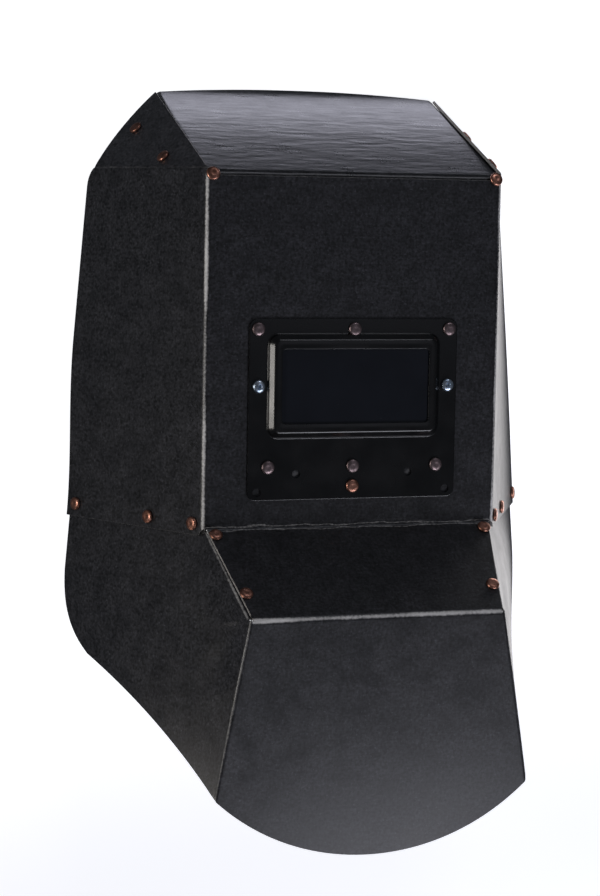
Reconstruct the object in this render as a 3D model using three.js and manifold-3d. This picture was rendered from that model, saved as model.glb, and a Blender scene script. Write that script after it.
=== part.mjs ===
// A welder's face mask folded from black fibreboard, lying on its rear rim with the face up.
// Millimetres. The mask's own frame has X to its left hand seen from the front, Y up the face
// and Z out of the face; Y = 0, Z = 0 is the lower edge of the flat face panel.
// Depths are counted backwards from the face panel, so a depth is a negative Z.

import * as THREE from 'three';
import { mergeVertices } from 'three/addons/utils/BufferGeometryUtils.js';
import Module from 'manifold-3d';

// Sheet and clearances
const sheet = 1.8;
const gap = 0.3;
const lap = sheet + gap;

// Face panel and the two upper sides that fold back from it
const face = { halfWidth: 95, height: 214 };
const side = {
  foldRise: 4.5, // where the hip flap turns in, above the face panel's upper edge
  seamDrop: 4, // lower edge, lapping over the lower side
  flareTop: 21.8, // degrees from straight back
  flareLow: 29.3,
  depthTop: 116, // length of the rear edge behind the face
  depthLow: 108.3,
  cornerRadius: 12, // rounding at the top of the rear edge
};

// Crown panel over the top of the head
const crown = {
  foldRise: 2.5, // its front fold, above the face panel's upper edge
  slope: 22.8, // degrees
  depth: 125, // to its rear corners
  bulge: 9.5, // of its curved rear edge
  halfWidthRear: 94,
  hipSteepness: 41, // degrees between crown and hip flap at the rear
  flangeDrop: 20, // front flange, folded down behind the face panel
  flangeTaper: 0.05, // share of its width that it loses downwards
  bendDepth: 4, // where its side tabs begin, behind the front fold
  tabShareFront: 0.4, // width of the side tabs as a share of the hip facet's
  tabShare: 0.86,
};
const hipFlap = { reachShare: 0.955, setback: 1 }; // how far back along the crown, and below its fold

// Chin slope, bib and lower sides
const chin = { reach: 57.3, drop: 46.2, halfWidth: 81, edgeInset: 2.2 };
const bib = { reach: 53, drop: 154.2, halfWidth: 100.2, sagitta: 40.2 };
const lobe = {
  rearStep: 0.5, // rear edge of the lower side, behind the upper side's
  straightEnd: 39, // where its rounding starts, below the face panel's lower edge
  belly: 5.5, // outward bow of the lower side
  halfWidthLow: 150, // of the rear edge's line, carried down to the bib's corner
  lapHeight: 12, // part that runs up inside the upper side
  lapInset: 2, // its top rear corner, in front of the rear edge
  lapFront: 5, // its front edge behind the face
  lapFrontHeight: 2, // lower end of that edge
  relief: 0.3, // outward slope just below the seam
};
const tab = { width: 15, endInset: 5 };

// Rounding of the lower side's rear outline: the knee where its two curves meet and the reach
// of their handles, as shares of the lobe's depth, its drop and each curve's own stretch
const outline = {
  kneeDepth: 0.78,
  kneeDrop: 0.45,
  lowOut: 0.36,
  lowUp: 0.4,
  kneeIn: 0.36,
  kneeDown: 0.3,
  backOut: 0.66,
  backUp: 0.2,
  endDown: 0.55,
};

// Filter glass, the plate with its raised bezel in front of it and the holder behind
const glass = { width: 102, height: 52, thickness: 3 };
const opening = { seatSide: 3.5, seatEnd: 3.2, radius: 2.5 }; // how far it covers the glass's rim
const plate = { halfWidth: 67.5, height: 111, low: 17, radius: 5, thickness: 1 };
const bezel = {
  centreRise: 70, // above the plate's lower edge
  height: 4.6,
  slope: 2.2, // width of its slanting side
  spare: 1.3, // room above and below the glass
  radius: 6,
  rim: 0.8, // rounding onto its front
  lip: 1.4, // rounding into the opening
};
const holder = { halfHeight: 30.5, radius: 4, thickness: 1.2, lipWidth: 2.5 };
const plateHole = { radius: 2.6 };

// Rivets and screws, with their turned profiles as shares of radius and height
const rivet = { headRadius: 4.2, headHeight: 1.9, shankRadius: 1.6, tailRadius: 3, tailHeight: 1.1 };
const screw = { headRadius: 4, headHeight: 2.4, shankRadius: 1.95, spare: 1.2 };
const nut = { acrossFlats: 7, height: 3.2 };
const holeClearance = 0.3;
const domeProfile = [[1, 0], [0.93, 0.45], [0.6, 0.87], [0, 1]];
const panProfile = [[1, 0], [1, 0.55], [0.7, 0.92], [0, 1]];
const tailProfile = [[0, 1], [1, 0.7], [1, 0]];

// Where the rivets sit. On the seam and the hips: behind the face or before the rear edge
const seamRivets = [
  { behindFace: 10.5, height: 3 },
  { behindFace: 42, height: 3 },
  { beforeRear: 7.3, height: 4 },
];
const hipRivets = [
  { behindFace: 50.5, share: 0.68 }, // share of the hip facet's width, from the crown's fold
  { beforeRear: 19.5, share: 0.42 },
];
const chinRivets = [
  { down: 4.9, inset: 4.2 }, // down the slope from the face, or up it; in from the side fold
  { up: 21.1, inset: 5.4 },
];
const cornerRivet = { inset: 4.2, drop: 5 };

// On the window plate, measured in from its side, top and bottom edges
const plateRivets = [
  { name: 'upper', inset: 5.6, fromTop: 6.1 },
  { name: 'lower', inset: 12.8, fromLow: 20.4 },
];
const plateMiddleRivets = [
  { name: 'upper', fromTop: 6.1 },
  { name: 'lower', fromLow: 20.4 },
  { name: 'bottom', fromLow: 8 },
];
const screwInset = 6.2;
const emptyHoles = [
  { inset: 31.1, fromLow: 16 },
  { inset: 6, fromLow: 5 },
];

// Fineness of the faceted surfaces
const columns = 12;
const faceRows = 8;
const sideColumns = 6;
const hipRows = 3;
const crownRowCount = 4;
const bibRows = 7;
const roundSides = 10;
const cornerSteps = 4;

// Heights and sizes that follow from these
const hipFoldHeight = face.height + side.foldRise;
const crownFoldHeight = face.height + crown.foldRise;
const lobeDepth = side.depthLow + lobe.rearStep;
const plateHigh = plate.low + plate.height;
const bezelCentre = plate.low + bezel.centreRise;
const bezelWall = gap + plate.thickness + bezel.slope;
const bezelHalf = { width: glass.width / 2 + bezelWall, height: glass.height / 2 + bezelWall + bezel.spare };
const openingHalf = { width: glass.width / 2 - opening.seatSide, height: glass.height / 2 - opening.seatEnd };

// Materials
const finish = (color, roughness, metalness) =>
  new THREE.MeshStandardMaterial({ color, roughness, metalness });
const materials = {
  fibreboard: finish(0x1b1c1f, 0.55, 0),
  paintedSteel: finish(0x0d0e11, 0.35, 0.1),
  filterGlass: finish(0x05070b, 0.08, 0),
  copper: finish(0xa06a52, 0.35, 1),
  zinc: finish(0xaeb9c6, 0.35, 1),
};

const wasm = await Module();
wasm.setup();

const V = (x, y, z) => new THREE.Vector3(x, y, z);
const shares = (count) => Array.from({ length: count + 1 }, (_, i) => i / count);
const { lerp, smoothstep, degToRad } = THREE.MathUtils;
const tan = (degrees) => Math.tan(degToRad(degrees));

// Surfaces of the sides: half width at a depth behind the face and a height
const sideSlope = (height) => lerp(tan(side.flareLow), tan(side.flareTop), height / hipFoldHeight);
const upperHalfWidth = (depth, height) => face.halfWidth + depth * sideSlope(height);
const lapInset = lap * Math.hypot(1, tan(side.flareLow));
const lapHalfWidth = (depth, height) => upperHalfWidth(depth, height) - lapInset;

// The lower side's front boundary: up the bib's crease, up the chin's fold, then the lap's edge
const bibCorner = { depth: -bib.reach, height: -bib.drop, halfWidth: bib.halfWidth };
const chinCorner = { depth: -chin.reach, height: -chin.drop, halfWidth: chin.halfWidth };
const chinTop = { depth: 0, height: 0, halfWidth: lapHalfWidth(0, 0) };
const between = (a, b, t) => ({
  depth: lerp(a.depth, b.depth, t),
  height: lerp(a.height, b.height, t),
  halfWidth: lerp(a.halfWidth, b.halfWidth, t),
});

function frontEdgeAt(height) {
  if (height < chinCorner.height) {
    const t = (height - bibCorner.height) / (chinCorner.height - bibCorner.height);
    return between(bibCorner, chinCorner, t);
  }
  return between(chinCorner, chinTop, 1 - height / chinCorner.height);
}

// The fold between lower side and tab lies one lap under the chin slope's face
const chinNormal = new THREE.Vector3(0, chin.reach, chin.drop).normalize();
const tabShares = [0.08, 0.24, 0.4, 0.56, 0.72, 0.9];
const tabFold = tabShares.map((t) => {
  const { depth, height, halfWidth } = between(chinCorner, chinTop, t);
  return { depth: depth + lap * chinNormal.z, height: height - lap * chinNormal.y, halfWidth };
});

// Below the seam the lower side is ruled from its front edge to a gently bowed rear line
function lowerHalfWidth(depth, height) {
  const below = -side.seamDrop - height;
  if (below <= 0) return lapHalfWidth(depth, height);
  const front = frontEdgeAt(height);
  const t = below / (bib.drop - side.seamDrop);
  const rear = lerp(lapHalfWidth(lobeDepth, -side.seamDrop), lobe.halfWidthLow, t)
    + 4 * lobe.belly * t * (1 - t);
  const ruled = lerp(front.halfWidth, rear, (depth - front.depth) / (lobeDepth - front.depth));
  const nearSeam = lapHalfWidth(depth, -side.seamDrop) + lobe.relief * below;
  return Math.min(ruled, nearSeam);
}

const onUpper = (depth, height) => V(upperHalfWidth(depth, height), height, -depth);
const onLower = (depth, height) => V(lowerHalfWidth(depth, height), height, -depth);

function normalOf(surface, depth, height) {
  const step = 0.5;
  const across = surface(depth + step, height).sub(surface(depth - step, height));
  const up = surface(depth, height + step).sub(surface(depth, height - step));
  return across.cross(up).normalize();
}

const mirrored = (rows) => rows.map((row) => row.map((p) => V(-p.x, p.y, p.z)).reverse());

// Upper side: a slightly twisted panel with a rounded top rear corner
function upperSideDepth(height) {
  const lowered = smoothstep(height, 0, hipFoldHeight / 2);
  const rear = lerp(side.depthLow, side.depthTop, lowered);
  const rise = Math.max(0, height - (hipFoldHeight - side.cornerRadius)) / side.cornerRadius;
  const arcShare = 0.75; // of the squared radius: the flap's fold cuts the rounding short
  return rear - side.cornerRadius * (1 - Math.sqrt(1 - arcShare * rise ** 2));
}

const ascending = (a, b) => a - b;
const roundingShares = [0.9, 0.5, 0.2, 0]; // levels within the rounding, down from the fold
const cornerLevels = roundingShares.map((t) => hipFoldHeight - t * side.cornerRadius);
const evenLevels = shares(faceRows).map((t) => t * face.height);
const faceLevels = [...evenLevels, ...cornerLevels.filter((y) => y < face.height)].sort(ascending);
const sideLevels = [-side.seamDrop, ...faceLevels, ...cornerLevels.filter((y) => y > face.height)];

function upperSideRows() {
  return sideLevels.map((height) => {
    const front = height < 0 ? -height : 0;
    return shares(sideColumns).map((t) => onUpper(lerp(front, upperSideDepth(height), t), height));
  });
}

// Hip planes: the flap turned in from the side lies over a tab turned down from the crown
const crownHeight = (depth) => crownFoldHeight + (depth - lap) * tan(crown.slope);
const hipFoldDepth = upperSideDepth(hipFoldHeight);
const foldPoint = (depth) => onUpper(depth, hipFoldHeight);
const flapTip = foldPoint(0);
const flapHeel = foldPoint(hipFoldDepth);
const hipLift = lap / Math.sin(degToRad(crown.hipSteepness));
const hipRear = V(crown.halfWidthRear + hipLift, crownHeight(crown.depth), -crown.depth);
const hipNormal = flapHeel.clone().sub(flapTip).cross(hipRear.clone().sub(flapTip)).normalize();
const tabOffset = hipNormal.dot(flapTip) - lap;

function crownFold(depth) {
  const y = crownHeight(depth);
  return V((tabOffset - hipNormal.y * y + hipNormal.z * depth) / hipNormal.x, y, -depth);
}

const hipDown = crownFold(crown.depth).sub(crownFold(0)).cross(hipNormal).normalize();
const flapEnd = crownFold(hipFlap.reachShare * crown.depth)
  .addScaledVector(hipNormal, lap)
  .addScaledVector(hipDown, hipFlap.setback);

function hipFlapRows() {
  return shares(hipRows).map((s) => shares(sideColumns).map((t) => {
    const foot = foldPoint(hipFoldDepth * t);
    return foot.lerp(flapTip.clone().lerp(flapEnd, t), s);
  }));
}

// Front strip: face panel, chin slope and bib share the same columns
const stripShares = shares(columns).map((t) => 2 * t - 1);
const chinTopHalf = chinTop.halfWidth - chin.edgeInset;
const chinLowHalf = chin.halfWidth - chin.edgeInset;
const withEnds = (row, half) => [V(-half, row[0].y, row[0].z), ...row, V(half, row[0].y, row[0].z)];

function faceRowsOfPoints() {
  return faceLevels.map((y) => withEnds(stripShares.map((s) => V(s * chinTopHalf, y, 0)), face.halfWidth));
}

function chinRows() {
  return [1, 0].map((t) => stripShares.map((s) =>
    V(s * lerp(chinTopHalf, chinLowHalf, t), -chin.drop * t, chin.reach * t)));
}

function bibRowsOfPoints() {
  const radius = (bib.halfWidth ** 2 + bib.sagitta ** 2) / (2 * bib.sagitta);
  const arcDrop = (x) => bib.drop + Math.sqrt(radius ** 2 - x ** 2) - (radius - bib.sagitta);
  const topRow = withEnds(stripShares.map((s) => V(s * chinLowHalf, 0, 0)), chin.halfWidth);
  return shares(bibRows).reverse().map((t) => topRow.map((p) => {
    const share = p.x / chin.halfWidth;
    const low = arcDrop(share * bib.halfWidth);
    const drop = lerp(chin.drop, low, t);
    const reach = lerp(chin.reach, bib.reach, (drop - chin.drop) / (bib.drop - chin.drop));
    return V(share * lerp(chin.halfWidth, bib.halfWidth, t), -drop, reach);
  }));
}

// Lower side: rows run from the front boundary to the rear outline, both drawn in depth and height
function lowerRearOutline() {
  const path = new THREE.Path();
  const low = new THREE.Vector2(bibCorner.depth, bibCorner.height);
  const kneeHeight = lerp(-lobe.straightEnd, bibCorner.height, outline.kneeDrop);
  const knee = new THREE.Vector2(lobeDepth * outline.kneeDepth, kneeHeight);
  const span = knee.clone().sub(low);
  const rise = -lobe.straightEnd - kneeHeight;
  path.moveTo(low.x, low.y);
  path.bezierCurveTo(
    low.x + span.x * outline.lowOut, low.y + span.y * outline.lowUp,
    knee.x - span.x * outline.kneeIn, knee.y - span.y * outline.kneeDown,
    knee.x, knee.y,
  );
  path.bezierCurveTo(
    lerp(knee.x, lobeDepth, outline.backOut), knee.y + rise * outline.backUp,
    lobeDepth, -lobe.straightEnd - rise * outline.endDown,
    lobeDepth, -lobe.straightEnd,
  );
  path.lineTo(lobeDepth, -side.seamDrop);
  path.lineTo(side.depthLow - lobe.lapInset, lobe.lapHeight);
  return path;
}

// As many points on each stretch of the outline as there are rows that end on it
function lowerRearPoints(counts) {
  const { curves } = lowerRearOutline();
  const stretches = curves.map((curve, i) => curve.getSpacedPoints(counts[i]).slice(1));
  return [curves[0].getPoint(0), ...stretches.flat()];
}

function lowerSideRows() {
  const crease = shares(bibRows).map((t) => between(bibCorner, chinCorner, t));
  const lapEdge = [lobe.lapFrontHeight, lobe.lapHeight].map((height) => ({ depth: lobe.lapFront, height }));
  const front = [...crease, ...tabFold, ...lapEdge];
  const rear = lowerRearPoints([crease.length - 1, tabFold.length, 1, 1]);
  return front.map((start, i) => {
    const end = rear[i];
    return shares(sideColumns + 2).map((t) => {
      const depth = lerp(start.depth, end.x, t);
      const height = lerp(start.height, end.y, t);
      return t === 0 && start.halfWidth ? V(start.halfWidth, height, -depth) : onLower(depth, height);
    });
  });
}

// Tabs turned in from the lower sides, riveted under the chin slope
function chinTabRows() {
  return tabFold.map((p, i) => {
    const start = V(p.halfWidth, p.height, -p.depth);
    const inset = i === 0 || i === tabFold.length - 1 ? tab.width - tab.endInset : tab.width;
    return [start.clone().sub(V(inset, 0, 0)), start];
  });
}

// One closed solid from outer panels that share their fold points: every point is carried
// inwards until it lies one sheet thickness behind each panel that meets there
function foldedSheet(panels, thickness) {
  const points = [];
  const faces = [];
  const known = new Map();
  const indexOf = (p) => {
    const key = p.toArray().map((v) => Math.round(v * 1e4)).join();
    if (!known.has(key)) known.set(key, points.push(p) - 1);
    return known.get(key);
  };
  const addFace = (a, b, c) => {
    if (a !== b && b !== c && a !== c) faces.push([a, b, c]);
  };
  for (const rows of panels) {
    for (let i = 1; i < rows.length; i++) {
      for (let j = 1; j < rows[i].length; j++) {
        const corners = [rows[i - 1][j - 1], rows[i - 1][j], rows[i][j], rows[i][j - 1]];
        const [a, b, c, d] = corners.map(indexOf);
        addFace(a, b, c);
        addFace(a, c, d);
      }
    }
  }
  const inner = innerPoints(points, faces, thickness);
  const solid = [];
  const open = new Map();
  for (const [a, b, c] of faces) {
    solid.push(a, b, c, inner.start + a, inner.start + c, inner.start + b);
    for (const [from, to] of [[a, b], [b, c], [c, a]]) {
      if (!open.delete(`${to} ${from}`)) open.set(`${from} ${to}`, [from, to]);
    }
  }
  for (const [from, to] of open.values()) {
    solid.push(to, from, inner.start + from, to, inner.start + from, inner.start + to);
  }
  const geometry = new THREE.BufferGeometry();
  geometry.setAttribute('position', new THREE.Float32BufferAttribute(
    [...points, ...inner.points].flatMap((p) => p.toArray()), 3));
  geometry.setIndex(solid);
  return geometry;
}

function innerPoints(points, faces, thickness) {
  const sums = points.map(() => ({ outer: new Array(9).fill(0), normal: V(0, 0, 0), count: 0 }));
  for (const corners of faces) {
    const [a, b, c] = corners.map((i) => points[i]);
    const n = b.clone().sub(a).cross(c.clone().sub(a)).normalize();
    const v = n.toArray();
    for (const i of corners) {
      for (let r = 0; r < 9; r++) sums[i].outer[r] += v[r % 3] * v[Math.floor(r / 3)];
      sums[i].normal.add(n);
      sums[i].count += 1;
    }
  }
  const steady = 0.02;
  const moved = points.map((p, i) => {
    const { outer, normal, count } = sums[i];
    const m = new THREE.Matrix3().fromArray(outer);
    for (const k of [0, 4, 8]) m.elements[k] += steady * count;
    const shift = normal.clone().applyMatrix3(m.invert()).multiplyScalar(-thickness * (1 + steady));
    return p.clone().add(shift);
  });
  return { points: moved, start: points.length };
}

// Cutting with closed meshes
function toSolid(geometry) {
  const bare = geometry.clone();
  bare.deleteAttribute('normal');
  bare.deleteAttribute('uv');
  const merged = mergeVertices(bare, 1e-4);
  return new wasm.Manifold(new wasm.Mesh({
    numProp: 3,
    vertProperties: new Float32Array(merged.attributes.position.array),
    triVerts: new Uint32Array(merged.index.array),
  }));
}

function toGeometry(solid) {
  const mesh = solid.getMesh();
  const geometry = new THREE.BufferGeometry();
  geometry.setAttribute('position', new THREE.Float32BufferAttribute(mesh.vertProperties, 3));
  geometry.setIndex([...mesh.triVerts]);
  geometry.computeVertexNormals();
  return geometry;
}

function cut(geometry, tools) {
  return toGeometry(tools.reduce((solid, tool) => solid.subtract(toSolid(tool)), toSolid(geometry)));
}

// A fastener's place is a point on the outer surface and the direction its head faces
const alongY = V(0, 1, 0);
const turnTo = (normal) => new THREE.Quaternion().setFromUnitVectors(alongY, normal);

const boreReach = 1.5 * (sheet + lap); // to each side of the outer surface, through all layers

function boreFor(place, radius) {
  const bore = new THREE.CylinderGeometry(radius, radius, 2 * boreReach, roundSides);
  return bore.applyQuaternion(turnTo(place.normal)).translate(...place.point.toArray());
}

const pair = (place) => [
  { ...place, name: `${place.name}_left` },
  {
    ...place,
    name: `${place.name}_right`,
    point: V(-place.point.x, place.point.y, place.point.z),
    normal: V(-place.normal.x, place.normal.y, place.normal.z),
  },
];

const outwards = V(0, 0, 1);
const doubled = sheet + lap;
const plateLap = plate.thickness + gap;
const depthOf = ({ behindFace, beforeRear }, rear) => behindFace ?? rear - beforeRear;

const seamPlaces = seamRivets.flatMap((at, i) => {
  const depth = depthOf(at, side.depthLow);
  return pair({
    name: `seam_rivet_${i + 1}`,
    point: onUpper(depth, at.height),
    normal: normalOf(onUpper, depth, at.height),
    grip: doubled,
  });
});

const hipPlaces = hipRivets.flatMap((at, i) => {
  const depth = depthOf(at, crown.depth);
  return pair({
    name: `hip_rivet_${i + 1}`,
    point: crownFold(depth).addScaledVector(hipNormal, lap).lerp(foldPoint(depth), at.share),
    normal: hipNormal,
    grip: doubled,
  });
});

const chinPlaces = chinRivets.flatMap(({ down, up, inset }, i) => {
  const slopeLength = Math.hypot(chin.reach, chin.drop);
  const t = (down ?? slopeLength - up) / slopeLength;
  return pair({
    name: `chin_rivet_${i + 1}`,
    point: V(lerp(chinTop.halfWidth, chin.halfWidth, t) - inset, -chin.drop * t, chin.reach * t),
    normal: chinNormal,
    grip: doubled,
  });
});

const cornerPlaces = pair({
  name: 'corner_rivet',
  point: V(face.halfWidth - cornerRivet.inset, face.height - cornerRivet.drop, 0),
  normal: outwards,
  grip: doubled,
});

const onPlate = (name, x, y) => ({
  name,
  point: V(x, y, plateLap),
  normal: outwards,
  grip: plateLap + sheet,
});
const heightOnPlate = ({ fromTop, fromLow }) => (fromTop ? plateHigh - fromTop : plate.low + fromLow);
const besideOnPlate = (name, at) => pair(onPlate(name, plate.halfWidth - at.inset, heightOnPlate(at)));
const platePlaces = [
  ...plateRivets.flatMap((at) => besideOnPlate(`plate_rivet_${at.name}`, at)),
  ...plateMiddleRivets.map((at) => onPlate(`plate_rivet_${at.name}_middle`, 0, heightOnPlate(at))),
];
const screwPlaces = pair(onPlate('glass_screw', plate.halfWidth - screwInset, bezelCentre));
const rivetPlaces = [...seamPlaces, ...hipPlaces, ...chinPlaces, ...cornerPlaces, ...platePlaces];

const rivetBore = (place) => boreFor(place, rivet.shankRadius + holeClearance);
const screwBore = (place) => boreFor(place, screw.shankRadius + holeClearance);

function block(halfWidth, halfHeight, depth, y, z) {
  return new THREE.BoxGeometry(2 * halfWidth, 2 * halfHeight, depth).translate(0, y, z);
}

function mainShell() {
  const halves = [upperSideRows(), hipFlapRows(), lowerSideRows(), chinTabRows()];
  const panels = [faceRowsOfPoints(), chinRows(), bibRowsOfPoints(), ...halves, ...halves.map(mirrored)];
  const beyond = gap + holder.lipWidth + 2 * gap; // round the holder's lip
  const window = block(openingHalf.width + beyond, openingHalf.height + beyond, 4 * sheet, bezelCentre, 0);
  const bores = [...rivetPlaces.map(rivetBore), ...screwPlaces.map(screwBore)];
  return cut(foldedSheet(panels, sheet), [window, ...bores]);
}

// Crown: sloping panel with a curved rear edge, a front flange and a tab along each side
function crownRowDepths() {
  const bend = lap + crown.bendDepth;
  return [lap, ...shares(crownRowCount).map((t) => lerp(bend, crown.depth, t))];
}

const crownFrontHalf = upperHalfWidth(lap, crownFoldHeight) - lapInset - gap;

function crownRows() {
  return crownRowDepths().map((depth, i, all) => {
    const half = i === 0 ? crownFrontHalf : crownFold(depth).x;
    return shares(columns).map((t) => {
      const s = 2 * t - 1;
      const back = depth + (i === all.length - 1 ? crown.bulge * (1 - s * s) : 0);
      return V(s * half, crownHeight(back), -back);
    });
  });
}

function crownFlangeRows() {
  const top = crownRows()[0];
  const drop = (p) => V(p.x * (1 - crown.flangeTaper), p.y - crown.flangeDrop, p.z);
  return [top.map(drop), top];
}

function crownTabRows() {
  const depths = crownRowDepths().slice(1);
  const foot = (depth, i) => {
    const width = i === 0 ? crown.tabShareFront : crown.tabShare;
    const beside = foldPoint(depth / crown.depth * hipFoldDepth);
    return crownFold(depth).lerp(beside.addScaledVector(hipNormal, -lap), width);
  };
  return [depths.map(foot), depths.map(crownFold)];
}

function crownPanel() {
  const sides = [crownTabRows()];
  const panels = [crownRows(), crownFlangeRows(), ...sides, ...sides.map(mirrored)];
  return cut(foldedSheet(panels, sheet), [...hipPlaces, ...cornerPlaces].map(rivetBore));
}

// Pressed frames: rounded rectangles joined ring to ring, in a closed section
function roundedLoop({ halfWidth, halfHeight, radius, centre, z }) {
  return [0, 1, 2, 3].flatMap((corner) => {
    const sx = corner === 0 || corner === 3 ? 1 : -1;
    const sy = corner < 2 ? 1 : -1;
    return shares(cornerSteps).map((t) => {
      const angle = (corner + t) * Math.PI / 2;
      return V(
        sx * (halfWidth - radius) + radius * Math.cos(angle),
        centre + sy * (halfHeight - radius) + radius * Math.sin(angle),
        z,
      );
    });
  });
}

function ringFrame(section) {
  const loops = section.map(roundedLoop);
  const size = loops[0].length;
  const index = [];
  loops.forEach((_, i) => {
    const next = (i + 1) % loops.length;
    for (let j = 0; j < size; j++) {
      const k = (j + 1) % size;
      const [a, b, c, d] = [i * size + j, next * size + j, next * size + k, i * size + k];
      index.push(a, c, b, a, d, c);
    }
  });
  const geometry = new THREE.BufferGeometry();
  geometry.setAttribute('position', new THREE.Float32BufferAttribute(
    loops.flat().flatMap((p) => p.toArray()), 3));
  geometry.setIndex(index);
  return geometry;
}

const bezelRing = (inset, z) => ({
  halfWidth: bezelHalf.width - inset,
  halfHeight: bezelHalf.height - inset,
  radius: bezel.radius - inset,
  centre: bezelCentre,
  z: gap + z,
});
const openingRing = (grow, z) => ({
  halfWidth: openingHalf.width + grow,
  halfHeight: openingHalf.height + grow,
  radius: opening.radius + grow,
  centre: bezelCentre,
  z: gap + z,
});
const plateRing = (z) => ({
  halfWidth: plate.halfWidth,
  halfHeight: plate.height / 2,
  radius: plate.radius,
  centre: plate.low + plate.height / 2,
  z: gap + z,
});

function windowPlate() {
  const t = plate.thickness;
  const top = t + bezel.height;
  const { slope, rim, lip } = bezel;
  const frame = ringFrame([
    plateRing(0), plateRing(t),
    bezelRing(0, t), bezelRing(slope - rim / 2, top - rim), bezelRing(slope + rim, top),
    openingRing(lip, top), openingRing(lip / 6, top - lip / 3), openingRing(0, top - t),
    openingRing(lip, top - t), bezelRing(slope + t, top - t), bezelRing(t, 0),
  ]);
  const holes = emptyHoles.flatMap((at) => besideOnPlate('', at));
  return cut(frame, [
    ...platePlaces.map(rivetBore),
    ...screwPlaces.map(screwBore),
    ...holes.map((place) => boreFor(place, plateHole.radius)),
  ]);
}

// The glass lies one gap behind the bezel's rim, whose inner face is the plate's back plus its height
const glassFront = bezel.height;

function filterGlass() {
  const middle = glassFront - glass.thickness / 2;
  return block(glass.width / 2, glass.height / 2, glass.thickness, bezelCentre, middle);
}

function glassHolder() {
  const front = -lap;
  const back = front - holder.thickness;
  const lipTop = glassFront - glass.thickness - gap;
  const outer = { halfWidth: plate.halfWidth, halfHeight: holder.halfHeight, radius: holder.radius };
  const ring = (z) => ({ ...outer, centre: bezelCentre, z });
  const inner = (grow, z) => ({ ...openingRing(gap + grow, 0), z });
  const frame = ringFrame([
    ring(back), ring(front), inner(holder.lipWidth, front), inner(holder.lipWidth, lipTop),
    inner(0, lipTop), inner(0, back),
  ]);
  return cut(frame, screwPlaces.map(screwBore));
}

// Turned fasteners: profiles start and end on the axis, with the seat of the head at Y = 0
function turned(profile) {
  return new THREE.LatheGeometry(profile.map(([x, y]) => new THREE.Vector2(x, y)), roundSides);
}

const scaled = (profile, radius, height, start) => profile.map(([r, h]) => [r * radius, start + h * height]);

function rivetBody(grip) {
  const { headRadius, headHeight, shankRadius, tailRadius, tailHeight } = rivet;
  const tail = -grip - gap;
  return turned([
    ...scaled(tailProfile, tailRadius, -tailHeight, tail),
    [shankRadius, tail],
    [shankRadius, gap],
    ...scaled(domeProfile, headRadius, headHeight, gap),
  ]);
}

const nutSeat = plateLap + lap + holder.thickness + gap;

function screwBody() {
  const { headRadius, headHeight, shankRadius, spare } = screw;
  const end = -(nutSeat + nut.height + spare);
  return turned([
    [0, end],
    [shankRadius, end],
    [shankRadius, gap],
    ...scaled(panProfile, headRadius, headHeight, gap),
  ]);
}

function nutBody() {
  const hexagon = new THREE.Shape();
  const corner = nut.acrossFlats / Math.sqrt(3);
  for (let i = 0; i < 6; i++) {
    const angle = i * Math.PI / 3;
    hexagon[i ? 'lineTo' : 'moveTo'](corner * Math.cos(angle), corner * Math.sin(angle));
  }
  hexagon.closePath();
  const bore = new THREE.Path().absarc(0, 0, screw.shankRadius + holeClearance, 0, 2 * Math.PI, true);
  hexagon.holes.push(bore);
  const options = { depth: nut.height, bevelEnabled: false, curveSegments: roundSides / 2 };
  const body = new THREE.ExtrudeGeometry(hexagon, options);
  return body.rotateX(Math.PI / 2).translate(0, -nutSeat, 0);
}

// Assembly
const mask = new THREE.Group();

function add(name, geometry, material) {
  const mesh = new THREE.Mesh(geometry, material);
  mesh.name = name;
  mask.add(mesh);
  return mesh;
}

function fasten(name, geometry, material, place) {
  const mesh = add(name, geometry, material);
  mesh.position.copy(place.point);
  mesh.quaternion.copy(turnTo(place.normal));
}

const shellGeometry = mainShell();
const crownGeometry = crownPanel();
add('main_shell', shellGeometry, materials.fibreboard);
add('crown_panel', crownGeometry, materials.fibreboard);
add('window_plate', windowPlate(), materials.paintedSteel);
add('filter_glass', filterGlass(), materials.filterGlass);
add('glass_holder', glassHolder(), materials.paintedSteel);
for (const place of rivetPlaces) fasten(place.name, rivetBody(place.grip), materials.copper, place);
screwPlaces.forEach((place) => {
  fasten(place.name, screwBody(), materials.zinc, place);
  fasten(place.name.replace('screw', 'nut'), nutBody(), materials.zinc, place);
});

// The mask lies on the crown's rear edge and on both lower sides: the tilt that brings
// the lowest upper point and the lowest lower point to one level
function restTilt(geometries) {
  const points = geometries.flatMap((geometry) => {
    const place = geometry.attributes.position;
    return Array.from({ length: place.count }, (_, i) => V(0, place.getY(i), place.getZ(i)));
  });
  let tilt = 0;
  const rounds = 6; // until the two lowest points no longer change
  const lowest = (set) => set.reduce((a, b) => (level(b) < level(a) ? b : a));
  const level = (p) => p.z * Math.cos(tilt) + p.y * Math.sin(tilt);
  for (let i = 0; i < rounds; i++) {
    const head = lowest(points.filter((p) => p.y > face.height / 2));
    const foot = lowest(points.filter((p) => p.y <= face.height / 2));
    tilt = Math.atan2(foot.z - head.z, head.y - foot.y);
  }
  return tilt;
}

mask.rotation.x = restTilt([shellGeometry, crownGeometry]);
mask.updateMatrixWorld(true);
const reach = new THREE.Box3().setFromObject(mask, true);
mask.position.set(0, -(reach.min.y + reach.max.y) / 2, -reach.min.z);

const part = new THREE.Group();
part.add(mask);

export default part;
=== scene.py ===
"""A welder's face mask: black fibreboard folded and riveted, with a steel window plate.

It lies on its rear rim with the face up. Shapes are worked out in millimetres in the mask's
own frame: X to the wearer's left, Y up the face, Z out of the face, and Y = 0, Z = 0 at the
lower edge of the flat face panel. A depth is counted backwards from the face panel, so it is
a negative Z. REST turns that frame into metres in the row frame.
"""

import math

import bmesh
import bpy
import numpy as np
from mathutils import Matrix, Vector, kdtree, noise


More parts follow.
